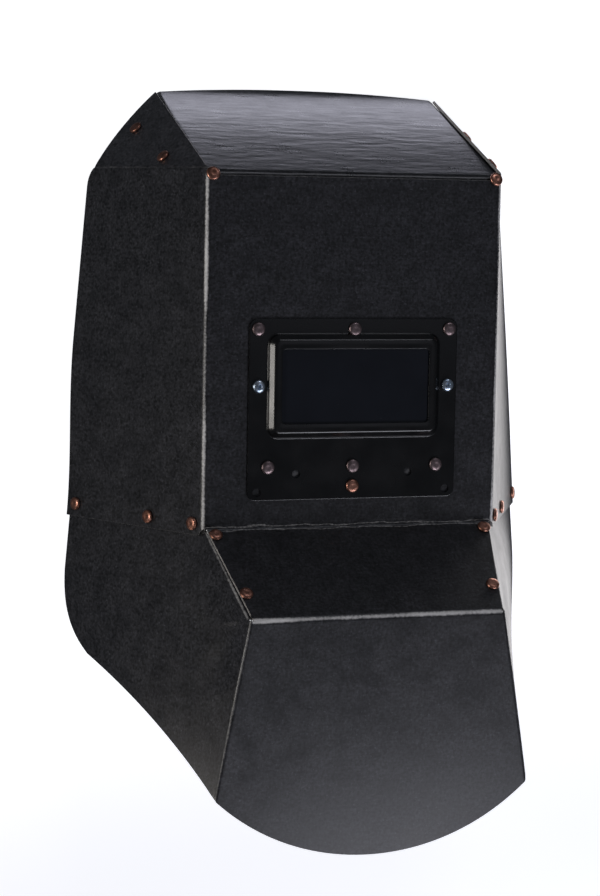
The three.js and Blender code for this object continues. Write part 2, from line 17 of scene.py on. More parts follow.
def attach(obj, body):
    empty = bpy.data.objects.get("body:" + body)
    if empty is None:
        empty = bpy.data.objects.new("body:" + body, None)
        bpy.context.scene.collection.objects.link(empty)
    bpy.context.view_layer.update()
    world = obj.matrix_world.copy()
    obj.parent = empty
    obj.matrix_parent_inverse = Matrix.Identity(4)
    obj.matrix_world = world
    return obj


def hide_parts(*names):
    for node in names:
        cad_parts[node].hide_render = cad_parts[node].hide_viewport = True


bl_info = {
    "name": "Welding Mask",
    "version": (1, 0, 0),
    "blender": (4, 5, 0),
    "location": "3D View > Sidebar > Mask",
    "description": "Folded fibreboard welding mask with its window plate, rivets and screws",
    "category": "Add Mesh",
}

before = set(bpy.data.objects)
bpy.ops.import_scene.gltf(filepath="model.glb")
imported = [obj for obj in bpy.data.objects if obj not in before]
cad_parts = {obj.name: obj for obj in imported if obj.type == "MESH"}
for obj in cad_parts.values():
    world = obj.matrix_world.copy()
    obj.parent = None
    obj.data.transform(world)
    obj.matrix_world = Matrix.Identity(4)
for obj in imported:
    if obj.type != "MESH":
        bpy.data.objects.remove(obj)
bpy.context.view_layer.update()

# Sheet and clearances
SHEET = 1.8
GAP = 0.3
LAP = SHEET + GAP

# Folded sheets
FACE = {"half": 95, "height": 214}
SIDE = {"fold": 218.5, "seam": -4, "flare_top": 21.8, "flare_low": 29.3,
        "depth_top": 116, "depth_low": 108.3, "corner": 12}
CROWN = {"fold": 216.5, "slope": 22.8, "depth": 125, "bulge": 9.5, "half_rear": 94,
         "hip_steepness": 41, "flange_drop": 20, "flange_taper": 0.05, "bend": 4,
         "tab_front": 0.4, "tab": 0.86}
CROWN_BOW = {"from": 0.7, "over": 0.3}  # shares of its depth
HIP = {"reach": 0.955, "setback": 1, "rear_top": 3, "rear_bow": 5}
CHIN = {"reach": 57.3, "drop": 46.2, "half": 81, "inset": 2.2, "top_inset": 0.4}
BIB = {"reach": 53, "drop": 154.2, "half": 100.2, "sagitta": 40.2}
LOBE = {"depth": 108.8, "straight_end": 39, "belly": 5.5, "half_low": 150, "lap_height": 12,
        "lap_inset": 2, "lap_front": 1.5, "lap_front_height": -1.0, "relief": 0.3}
TAB = {"width": 15, "end": 10, "from": 0.055, "to": 0.99}
OUTLINE = {"knee_depth": 0.78, "knee_drop": 0.45, "low_out": 0.36, "low_up": 0.4,
           "knee_in": 0.36, "knee_down": 0.3, "back_out": 0.66, "back_up": 0.2, "end_down": 0.55}

# Window
GLASS = {"half": (51, 26), "thickness": 3}
PLATE = {"half": (67.5, 55.5), "centre": 72.5, "corner": 5, "thickness": 1}
BEZEL = {"half": (54.5, 30.8), "centre": 87, "corner": 6, "height": 4.6, "slope": 2.2}
OPENING = {"half": (47.5, 22.8), "corner": 2.5}
CUT_OUT = (50.9, 26.2)
HOLES = [(36.4, 33), (61.5, 22)]
HOLE_RADIUS = 2.6
HOLDER_THICKNESS = 1.2

# Rivets and screws: places in the mask's frame
SEAM_RIVETS = [(7.8, 3), (42, 3), (101, 4)]
HIP_RIVETS = [(50.5, 0.68), (105.5, 0.42)]
CHIN_RIVETS = [(4.9, 4.2), (52.5, 5.4)]
CORNER_RIVET = (91.2, 214.6)
PLATE_RIVETS = [("upper", 61.9, 121.9), ("lower", 54.7, 37.4)]
PLATE_MIDDLE_RIVETS = [("upper", 121.9), ("lower", 37.4), ("bottom", 25)]
SCREW_PLACE = (61.3, 87)

# Fasteners: heads as shares of their own radius and height, the tail and the thread's end as
# radius and height in mm, below the board and above the end
RIVET_HEAD = [(1.0, 0.0), (1.0, 0.3), (0.97, 0.5), (0.9, 0.68), (0.8, 0.81), (0.66, 0.91), (0.5, 0.97),
              (0.38, 0.98), (0.26, 0.94), (0.13, 0.91), (0.0, 0.9)]
RIVET_TAIL = [(0, 1.1), (2.2, 1.1), (2.8, 0.8), (3, 0.3), (3, 0), (1.6, 0)]
RIVET_SHANK = 1.6
SCREW_HEAD = [(1.0, 0.0), (1.0, 0.35), (0.97, 0.55), (0.88, 0.75), (0.7, 0.92), (0.45, 0.99), (0.0, 1.0)]
SCREW_END = [(0, 0), (1.7, 0), (1.95, 0.4)]
SCREW = {"shank": 1.95, "spare": 1.2}
NUT_HEIGHT = 3.2

# The photograph's camera, solved in the mask's frame: turned to the mask's right, looking
# slightly down on it, and the mask's origin in camera space (right, forward, up)
CAMERA = {"azimuth": 18.0, "pitch": 6.278, "roll": -1.0076,
          "origin": (31.2434, 1381.179, -47.991), "lens": 89.574}

# Folds: the panels that meet, how far the bend starts from its line in mm, how worn it is,
# how far the wear spreads to each side in mm, and how wrinkled it is
SHELL_FOLDS = {
    ("face", "side"): (2.8, 1.0, 1.4, 0.0),
    ("chin", "face"): (1.3, 0.0, 1.0, 1.0),
    ("bib", "chin"): (2.8, 1.0, 1.8, 0.0),
    ("bib", "lower"): (2.2, 0.32, 0.9, 0.0),
    ("hip", "side"): (1.8, 0.16, 0.5, 0.0),
    ("lower", "tab"): (2.0, 0.6, 0.9, 0.0),
}
CROWN_FOLDS = {
    ("crown", "flange"): (3.4, 0.0, 1.0, 0.0),
    ("crown", "crown_tab"): (2.2, 0.05, 0.8, 0.0),
}
# Board seen through an empty hole, scuffed by the screw that was there: worn, spread, wrinkled
BARE_HOLE = (0.1, 2.2, 0.0)
# How far the middle of the bib has bowed outwards, its length to its lowest point, in mm, and
# the share of that length at which its side corners lie
BIB_BOW = 1.4
BIB_LENGTH = 148
BIB_CORNER_SHARE = 0.73
# The face panel stays flat between these heights, for the window plate, and warps fully this
# far beside it; the crease under it has buckled by this much, over this reach, all in mm
FLAT_LEVELS = (15, 130)
FLAT_MARGIN = 15
BUCKLE = {"height": 0.28, "reach": 5, "patch": 5}
# Points that the edge rounding moves further than this from the square sheet are drawn back
THROWN_OUT = 0.7
# Distances from a fold, in mm, of the first lines of points beside it
BESIDE_FOLD = (0.0, 0.3, 0.7, 1.2, 1.8, 2.6, 3.6, 5.0)


def linear(code):
    """An sRGB hex colour as Blender's linear numbers."""
    parts = [int(code[i:i + 2], 16) / 255 for i in (1, 3, 5)]
    made = [c / 12.92 if c <= 0.04045 else ((c + 0.055) / 1.055) ** 2.4 for c in parts]
    return (*made, 1.0)


def link(o):
    """Puts an object into the scene."""
    bpy.context.scene.collection.objects.link(o)
    return o


def mesh_from(made, name):
    """The mesh of a bmesh, which is freed."""
    mesh = bpy.data.meshes.new(name)
    made.to_mesh(mesh)
    made.free()
    return mesh


# The mask tips back on its rear rim: the turn, and where its own origin comes to lie in metres
REST = (Matrix.Translation((0, -0.0421214, 0.1128014))
        @ Matrix.Rotation(math.radians(4.654559), 4, "X") @ Matrix.Scale(0.001, 4))


# Shapes of the sheets

def lerp(a, b, t):
    return a + (b - a) * t


def tan(degrees):
    return math.tan(math.radians(degrees))


def point(x, y, z):
    return np.array((x, y, z), float)


def unit(v):
    return v / np.linalg.norm(v)


def side_slope(height):
    return lerp(tan(SIDE["flare_low"]), tan(SIDE["flare_top"]), height / SIDE["fold"])


def upper_half(depth, height):
    return FACE["half"] + depth * side_slope(height)


LAP_INSET = LAP * math.hypot(1, tan(SIDE["flare_low"]))


def lap_half(depth, height):
    return upper_half(depth, height) - LAP_INSET


# Corners of the lower side's front edge as depth, height and half width
BIB_CORNER = point(-BIB["reach"], -BIB["drop"], BIB["half"])
CHIN_CORNER = point(-CHIN["reach"], -CHIN["drop"], CHIN["half"])
CHIN_TOP = point(0, 0, lap_half(0, 0))
CHIN_NORMAL = unit(point(0, CHIN["reach"], CHIN["drop"]))
CHIN_HALF = (CHIN_TOP[2] - CHIN["top_inset"], CHIN["half"] - CHIN["inset"])


def front_edge(height):
    """The lower side's front boundary at a height: up the bib's crease, then the chin's fold."""
    if height < CHIN_CORNER[1]:
        return lerp(BIB_CORNER, CHIN_CORNER, (height - BIB_CORNER[1]) / (CHIN_CORNER[1] - BIB_CORNER[1]))
    return lerp(CHIN_CORNER, CHIN_TOP, 1 - height / CHIN_CORNER[1])


def on_upper(depth, height):
    return point(upper_half(depth, height), height, -depth)


def on_lower(depth, height):
    """The lower side: ruled from its front edge to a gently bowed rear line."""
    below = SIDE["seam"] - height
    if below <= 0:
        return point(lap_half(depth, height), height, -depth)
    start = front_edge(height)
    t = below / (BIB["drop"] + SIDE["seam"])
    rear = lerp(lap_half(LOBE["depth"], SIDE["seam"]), LOBE["half_low"], t) + 4 * LOBE["belly"] * t * (1 - t)
    ruled = lerp(start[2], rear, (depth - start[0]) / (LOBE["depth"] - start[0]))
    return point(min(ruled, lap_half(depth, SIDE["seam"]) + LOBE["relief"] * below), height, -depth)


def upper_depth(height):
    """How far back the upper side reaches, with its rounded top corner."""
    t = min(max(height / (SIDE["fold"] / 2), 0), 1)
    rear = lerp(SIDE["depth_low"], SIDE["depth_top"], t * t * (3 - 2 * t))
    rise = max(0, height - (SIDE["fold"] - SIDE["corner"])) / SIDE["corner"]
    return rear - SIDE["corner"] * (1 - math.sqrt(1 - 0.75 * rise ** 2))


def crown_height(depth):
    return CROWN["fold"] + (depth - LAP) * tan(CROWN["slope"])


def hip_fold(depth):
    return on_upper(depth, SIDE["fold"])


HIP_FOLD_DEPTH = upper_depth(SIDE["fold"])
HIP_LIFT = LAP / math.sin(math.radians(CROWN["hip_steepness"]))
HIP_REAR = point(CROWN["half_rear"] + HIP_LIFT, crown_height(CROWN["depth"]), -CROWN["depth"])
HIP_NORMAL = unit(np.cross(hip_fold(HIP_FOLD_DEPTH) - hip_fold(0), HIP_REAR - hip_fold(0)))
TAB_OFFSET = HIP_NORMAL @ hip_fold(0) - LAP


def crown_fold(depth):
    """The line where the crown turns down into its side tab."""
    y = crown_height(depth)
    return point((TAB_OFFSET - HIP_NORMAL[1] * y + HIP_NORMAL[2] * depth) / HIP_NORMAL[0], y, -depth)


def graded(length, count, start=True, end=False):
    """Shares of a length in mm: even steps, and fine ones beside a fold at the start or end."""
    fine = [d / length for d in BESIDE_FOLD if d < 0.45 * length]
    low = fine if start else [0.0]
    high = [1 - s for s in reversed(fine)] if end else [1.0]
    return [*low[:-1], *np.linspace(low[-1], high[0], count + 1), *high[1:]]


def strip_shares():
    """Columns of the front strip as shares of its half width, with one on the cut-out's edge."""
    edge = CUT_OUT[0] / CHIN_HALF[0]
    half = [*np.linspace(0, edge, 12), *np.linspace(edge, 1, 10)[1:]]
    return [-s for s in reversed(half[1:])] + half


def face_levels():
    low, high = (BEZEL["centre"] - CUT_OUT[1], BEZEL["centre"] + CUT_OUT[1])
    foot = BESIDE_FOLD
    rounding = np.linspace(SIDE["fold"] - SIDE["corner"], FACE["height"], 4)
    return [*foot, *np.linspace(foot[-1], low, 13)[1:], *np.linspace(low, high, 12)[1:],
            *np.linspace(high, rounding[0], 20)[1:], *rounding[1:]]


def with_ends(row, half):
    """A row carried on to a fold at its half width, with the fine points beside the fold."""
    reach = half - row[-1][0]
    ends = [point(half - d, *row[0][1:]) for d in BESIDE_FOLD if d < 0.9 * reach]
    return [p * (-1, 1, 1) for p in ends] + row + ends[::-1]


def face_rows():
    return [with_ends([point(s * CHIN_HALF[0], y, 0) for s in strip_shares()], FACE["half"])
            for y in face_levels()]


def chin_rows():
    shares = graded(math.hypot(CHIN["reach"], CHIN["drop"]), 14, end=True)[::-1]
    return [[point(s * lerp(*CHIN_HALF, t), -CHIN["drop"] * t, CHIN["reach"] * t) for s in strip_shares()]
            for t in shares]


def bib_shares():
    return graded(BIB["drop"] - CHIN["drop"], 24)


def bib_rows():
    radius = (BIB["half"] ** 2 + BIB["sagitta"] ** 2) / (2 * BIB["sagitta"])
    top = with_ends([point(s * CHIN_HALF[1], 0, 0) for s in strip_shares()], CHIN["half"])
    rows = []
    for t in reversed(bib_shares()):
        row = []
        for p in top:
            share = p[0] / CHIN["half"]
            x = share * BIB["half"]
            low = BIB["drop"] + math.sqrt(radius ** 2 - x ** 2) - (radius - BIB["sagitta"])
            drop = lerp(CHIN["drop"], low, t)
            reach = lerp(CHIN["reach"], BIB["reach"], (drop - CHIN["drop"]) / (BIB["drop"] - CHIN["drop"]))
            row.append(point(share * lerp(CHIN["half"], BIB["half"], t), -drop, reach))
        rows.append(row)
    return rows


def upper_side_rows():
    top = [SIDE["fold"] - d for d in reversed(BESIDE_FOLD[:-1])]
    levels = [SIDE["seam"], SIDE["seam"] / 2, *face_levels(), *top]
    rows = []
    for height in levels:
        start = max(-height, 0)
        rows.append([on_upper(lerp(start, upper_depth(height), t), height) for t in HIP_SHARES])
    return rows


HIP_SHARES = graded(HIP_FOLD_DEPTH, 24)
HIP_FLAP = 50  # its width in mm, for the spacing of its rows alone


def hip_rows():
    end = crown_fold(HIP["reach"] * CROWN["depth"]) + HIP_NORMAL * LAP
    down = unit(np.cross(crown_fold(CROWN["depth"]) - crown_fold(0), HIP_NORMAL))
    end = end + down * HIP["setback"]
    rows = []
    for s in graded(HIP_FLAP, 10):
        further = 1 + (HIP["rear_top"] * s + 4 * HIP["rear_bow"] * s * (1 - s)) / HIP_FOLD_DEPTH
        rows.append([lerp(hip_fold(HIP_FOLD_DEPTH * t), lerp(hip_fold(0), end, t), s)
                     for t in (share * further for share in HIP_SHARES)])
    return rows


def spaced(start, handle, other, end, count):
    """Points at even steps along a Bezier curve."""
    t = np.linspace(0, 1, 400)[:, None]
    fine = (1 - t) ** 3 * start + 3 * (1 - t) ** 2 * t * handle + 3 * (1 - t) * t ** 2 * other + t ** 3 * end
    run = np.concatenate([[0], np.cumsum(np.linalg.norm(np.diff(fine, axis=0), axis=1))])
    at = np.linspace(0, run[-1], count + 1)
    return np.stack([np.interp(at, run, fine[:, i]) for i in (0, 1)], axis=1)


def lower_rear(low_count, high_count):
    """The lower side's rear outline as depth and height, from the bib's corner up."""
    o = OUTLINE
    low = BIB_CORNER[:2]
    knee = np.array((LOBE["depth"] * o["knee_depth"], lerp(-LOBE["straight_end"], low[1], o["knee_drop"])))
    top = np.array((LOBE["depth"], -LOBE["straight_end"]))
    span, rise = knee - low, top[1] - knee[1]
    leave = low + span * (o["low_out"], o["low_up"])
    first = spaced(low, leave, knee - span * (o["knee_in"], o["knee_down"]), knee, low_count)
    back = np.array((lerp(knee[0], LOBE["depth"], o["back_out"]), knee[1] + rise * o["back_up"]))
    second = spaced(knee, back, top - (0, rise * o["end_down"]), top, high_count)
    lap = [(LOBE["depth"], SIDE["seam"]), (SIDE["depth_low"] - LOBE["lap_inset"], LOBE["lap_height"])]
    return [*first, *second[1:], *lap]


def tab_fold():
    """The fold between lower side and chin tab, one lap under the chin slope."""
    return [lerp(CHIN_CORNER, CHIN_TOP, t) + point(LAP * CHIN_NORMAL[2], -LAP * CHIN_NORMAL[1], 0)
            for t in np.linspace(TAB["from"], TAB["to"], 15)]


def along_ribs(ribs, share):
    """A smooth curve through evenly spaced points, at a share of its length."""
    i = min(int(share * (len(ribs) - 1)), len(ribs) - 2)
    t = share * (len(ribs) - 1) - i
    a, b = ribs[i], ribs[i + 1]
    before = ribs[i - 1] if i else 2 * a - b
    after = ribs[i + 2] if i + 2 < len(ribs) else 2 * b - a
    leave, arrive = (b - before) / 2, (after - a) / 2
    return (a + leave * t + (3 * (b - a) - 2 * leave - arrive) * t ** 2
            + (2 * (a - b) + leave + arrive) * t ** 3)


def lower_side_rows():
    crease = [lerp(CHIN_CORNER, BIB_CORNER, t) for t in reversed(bib_shares())]
    lap = [point(LOBE["lap_front"], h, 0) for h in (LOBE["lap_front_height"], LOBE["lap_height"])]
    front = [*crease, *tab_fold(), *lap]
    rear = lower_rear(len(crease) - 1, len(tab_fold()))
    rows = []
    for start, end in zip(front, rear):
        ribs = [on_lower(lerp(start[0], end[0], t), lerp(start[1], end[1], t)) for t in np.linspace(0, 1, 7)]
        if start[2]:
            ribs[0] = point(start[2], start[1], -start[0])
        rows.append([along_ribs(ribs, t) for t in graded(150, 30)])
    return rows


def chin_tab_rows():
    fold = tab_fold()
    rows = []
    for i, p in enumerate(fold):
        width = lerp(TAB["end"], TAB["width"], min(i, len(fold) - 1 - i, 2) / 2)
        outer = point(p[2], p[1], -p[0])
        rows.append([outer - (width * t, 0, 0) for t in reversed(graded(TAB["width"], 3))])
    return rows


def mirrored(rows):
    return [[p * (-1, 1, 1) for p in reversed(row)] for row in rows]


def crown_depths():
    bend = LAP + CROWN["bend"]
    return [*[LAP + d for d in BESIDE_FOLD if d < CROWN["bend"]], *np.linspace(bend, CROWN["depth"], 28)]


CROWN_SHARES = [2 * t - 1 for t in graded(2 * CROWN["half_rear"], 36, end=True)]


def crown_rows():
    front = upper_half(LAP, CROWN["fold"]) - LAP_INSET - GAP
    bend = LAP + CROWN["bend"]
    rows = []
    for depth in crown_depths():
        half = crown_fold(depth)[0]
        if depth < bend:
            half = lerp(front, crown_fold(bend)[0], (depth - LAP) / CROWN["bend"])
        behind = (depth - CROWN_BOW["from"] * CROWN["depth"]) / (CROWN_BOW["over"] * CROWN["depth"])
        bow = max(0, behind) ** 2 * CROWN["bulge"]
        row = []
        for s in CROWN_SHARES:
            back = depth + bow * (1 - s * s)
            row.append(point(s * half, crown_height(back), -back))
        rows.append(row)
    return rows


def flange_rows():
    top = crown_rows()[0]
    return [[point(p[0] * (1 - CROWN["flange_taper"] * t), p[1] - CROWN["flange_drop"] * t, p[2])
             for p in top] for t in reversed(graded(CROWN["flange_drop"], 3))]


def crown_tab_rows():
    depths = [d for d in crown_depths() if d >= LAP + CROWN["bend"]]
    feet = []
    for i, depth in enumerate(depths):
        width = lerp(CROWN["tab_front"], CROWN["tab"], min(i / 6, 1))
        beside = hip_fold(depth / CROWN["depth"] * HIP_FOLD_DEPTH) - HIP_NORMAL * LAP
        feet.append(lerp(crown_fold(depth), beside, width))
    return [[lerp(crown_fold(depth), foot, t) for foot, depth in zip(feet, depths)]
            for t in reversed(graded(HIP_FLAP, 8))]


# Folding a sheet

def panel_mesh(panels, folds, dropped=None):
    """A surface of panels that share their fold points, and its fold lines.

    A fold line holds its ends, the sum of the two directions that lead away from it into
    the panels, how far from the line the bend starts, and how worn it is.
    """
    made = bmesh.new()
    panel = made.faces.layers.int.new("panel")
    names = sorted({name for name, _ in panels})
    known = {}

    def corner(p):
        key = tuple(np.round(p, 3))
        if key not in known:
            known[key] = made.verts.new(p)
        return known[key]

    for name, rows in panels:
        for low, high in zip(rows, rows[1:]):
            for a, b, c, d in zip(low, low[1:], high[1:], high):
                if dropped and dropped(name, (a + b + c + d) / 4):
                    continue
                corners = list(dict.fromkeys(corner(p) for p in (a, b, c, d)))
                if len(corners) > 2:
                    made.faces.new(corners)[panel] = names.index(name)
    lines = []
    for edge in made.edges:
        meeting = tuple(sorted({names[f[panel]] for f in edge.link_faces}))
        if meeting in folds:
            start, end = (v.co for v in edge.verts)
            along = (end - start).normalized()
            away = Vector()
            for face in edge.link_faces:
                into = face.calc_center_median() - start
                away += (into - into.dot(along) * along).normalized()
            lines.append((*start, *end, *away, *folds[meeting]))
    made.normal_update()
    return made, np.array(lines)


def nearest_line(places, lines):
    """Each place's distance in mm to the nearest fold line, and that line's number."""
    best, which = np.full(len(places), 1e9), np.zeros(len(places), int)
    for i, line in enumerate(lines):
        start, along = line[:3], line[3:6] - line[:3]
        t = np.clip((places - start) @ along / (along @ along), 0, 1)
        far = np.linalg.norm(places - start - t[:, None] * along, axis=1)
        nearer = far < best
        best[nearer], which[nearer] = far[nearer], i
    return best, which


def round_folds(surface, lines):
    """Bends the surface in an even curve beside each fold line."""
    places = np.array([v.co for v in surface.verts])
    moved = np.zeros_like(places)
    for reach in sorted(set(lines[:, 9])):
        kind = lines[lines[:, 9] == reach]
        far, which = nearest_line(places, kind)
        left = np.maximum(reach - far, 0)
        moved += (left ** 2 / (4 * reach))[:, None] * kind[which, 6:9]
    for v, shift in zip(surface.verts, moved):
        v.co += Vector(shift)
    surface.normal_update()


def set_attribute(mesh, name, values):
    layer = mesh.attributes.new(name, "FLOAT", "POINT")
    layer.data.foreach_set("value", np.asarray(values, np.float32))


def places_of(mesh):
    flat = np.zeros(len(mesh.vertices) * 3)
    mesh.vertices.foreach_get("co", flat)
    return flat.reshape(-1, 3)


def folded_sheet(name, panels, folds, materials, rounding, warp, dropped=None, scuffs=()):
    """A closed board of one sheet thickness from outer panels, with rounded folds and edges."""
    surface, lines = panel_mesh(panels, folds, dropped)
    round_folds(surface, lines)
    spots = [(x, y, 0, x, y + 0.1, 0, 0, 0, 0, 0, *BARE_HOLE) for x, y in scuffs]
    lines = np.concatenate([lines, np.array(spots).reshape(-1, 13)])
    for v in surface.verts:
        v.co += v.normal * warp(v.co)
    mesh = mesh_from(surface, name)
    for finish in materials:
        mesh.materials.append(finish)
    work = link(bpy.data.objects.new(name + "_work", mesh))
    solid = work.modifiers.new("Thickness", "SOLIDIFY")
    solid.thickness, solid.offset = SHEET, -1
    solid.material_offset, solid.material_offset_rim = 1, 2
    graph = bpy.context.evaluated_depsgraph_get()
    square = places_of(work.evaluated_get(graph).data)
    edge = work.modifiers.new("Edges", "BEVEL")
    edge.width, edge.segments = rounding, 2
    edge.limit_method, edge.angle_limit = "ANGLE", math.radians(60)
    edge.use_clamp_overlap = False
    level = work.modifiers.new("Flat panels", "WEIGHTED_NORMAL")
    level.keep_sharp = True
    made = plain_mesh(work, name)
    draw_in(made, square)
    far, which = nearest_line(places_of(made), lines)
    set_attribute(made, "fold_mm", far)
    for column, key in enumerate(("fold_worn", "fold_spread", "fold_wrinkled"), 10):
        set_attribute(made, key, lines[which, column])
    made.transform(REST)
    return made


def draw_in(mesh, square):
    """Brings points that the edge rounding threw out at narrow corners back to the square sheet."""
    tree = kdtree.KDTree(len(square))
    for i, p in enumerate(square):
        tree.insert(p, i)
    tree.balance()
    for v in mesh.vertices:
        nearest, _, far = tree.find(v.co)
        if far > THROWN_OUT:
            v.co = nearest


def plain_mesh(work, name):
    """The plain mesh that a working object's modifiers give; the working object is removed."""
    graph = bpy.context.evaluated_depsgraph_get()
    made = bpy.data.meshes.new_from_object(work.evaluated_get(graph), preserve_all_data_layers=True,
                                           depsgraph=graph)
    made.name = name
    bpy.data.objects.remove(work)
    return made


def carved(work, cutter, name, use_self=False):
    """The plain mesh of a working object with the cutter's shape taken out."""
    tool = link(bpy.data.objects.new("cutter", mesh_from(cutter, "cutter")))
    cut = work.modifiers.new("Carved", "BOOLEAN")
    cut.object, cut.operation, cut.solver, cut.use_self = tool, "DIFFERENCE", "EXACT", use_self
    made = plain_mesh(work, name)
    bpy.data.objects.remove(tool)
    return made


def coat(node, finish):
    """Gives a plain solid of the frame its finish."""
    node.data.materials.clear()
    node.data.materials.append(finish)


def add_piece(name, mesh, nodes):
    piece = link(bpy.data.objects.new(name, mesh))
    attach(piece, "root")
    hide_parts(*nodes)
    return piece


# Materials

def add(tree, kind, inputs=(), **settings):
    """Adds a node with its settings; inputs hold values or the sockets that feed them."""
    made = tree.nodes.new(kind)
    for key, value in settings.items():
        setattr(made, key, value)
    for key, value in dict(inputs).items():
        if isinstance(value, bpy.types.NodeSocket):
            tree.links.new(value, made.inputs[key])
        else:
            made.inputs[key].default_value = value
    return made


def new_material(name):
    made = bpy.data.materials.new(name)
    made.use_nodes = True
    made.node_tree.nodes.clear()
    return made, made.node_tree


def per_mm(size):
    """The scale of a pattern in metre coordinates whose features are this many mm across."""
    return 1000 / size


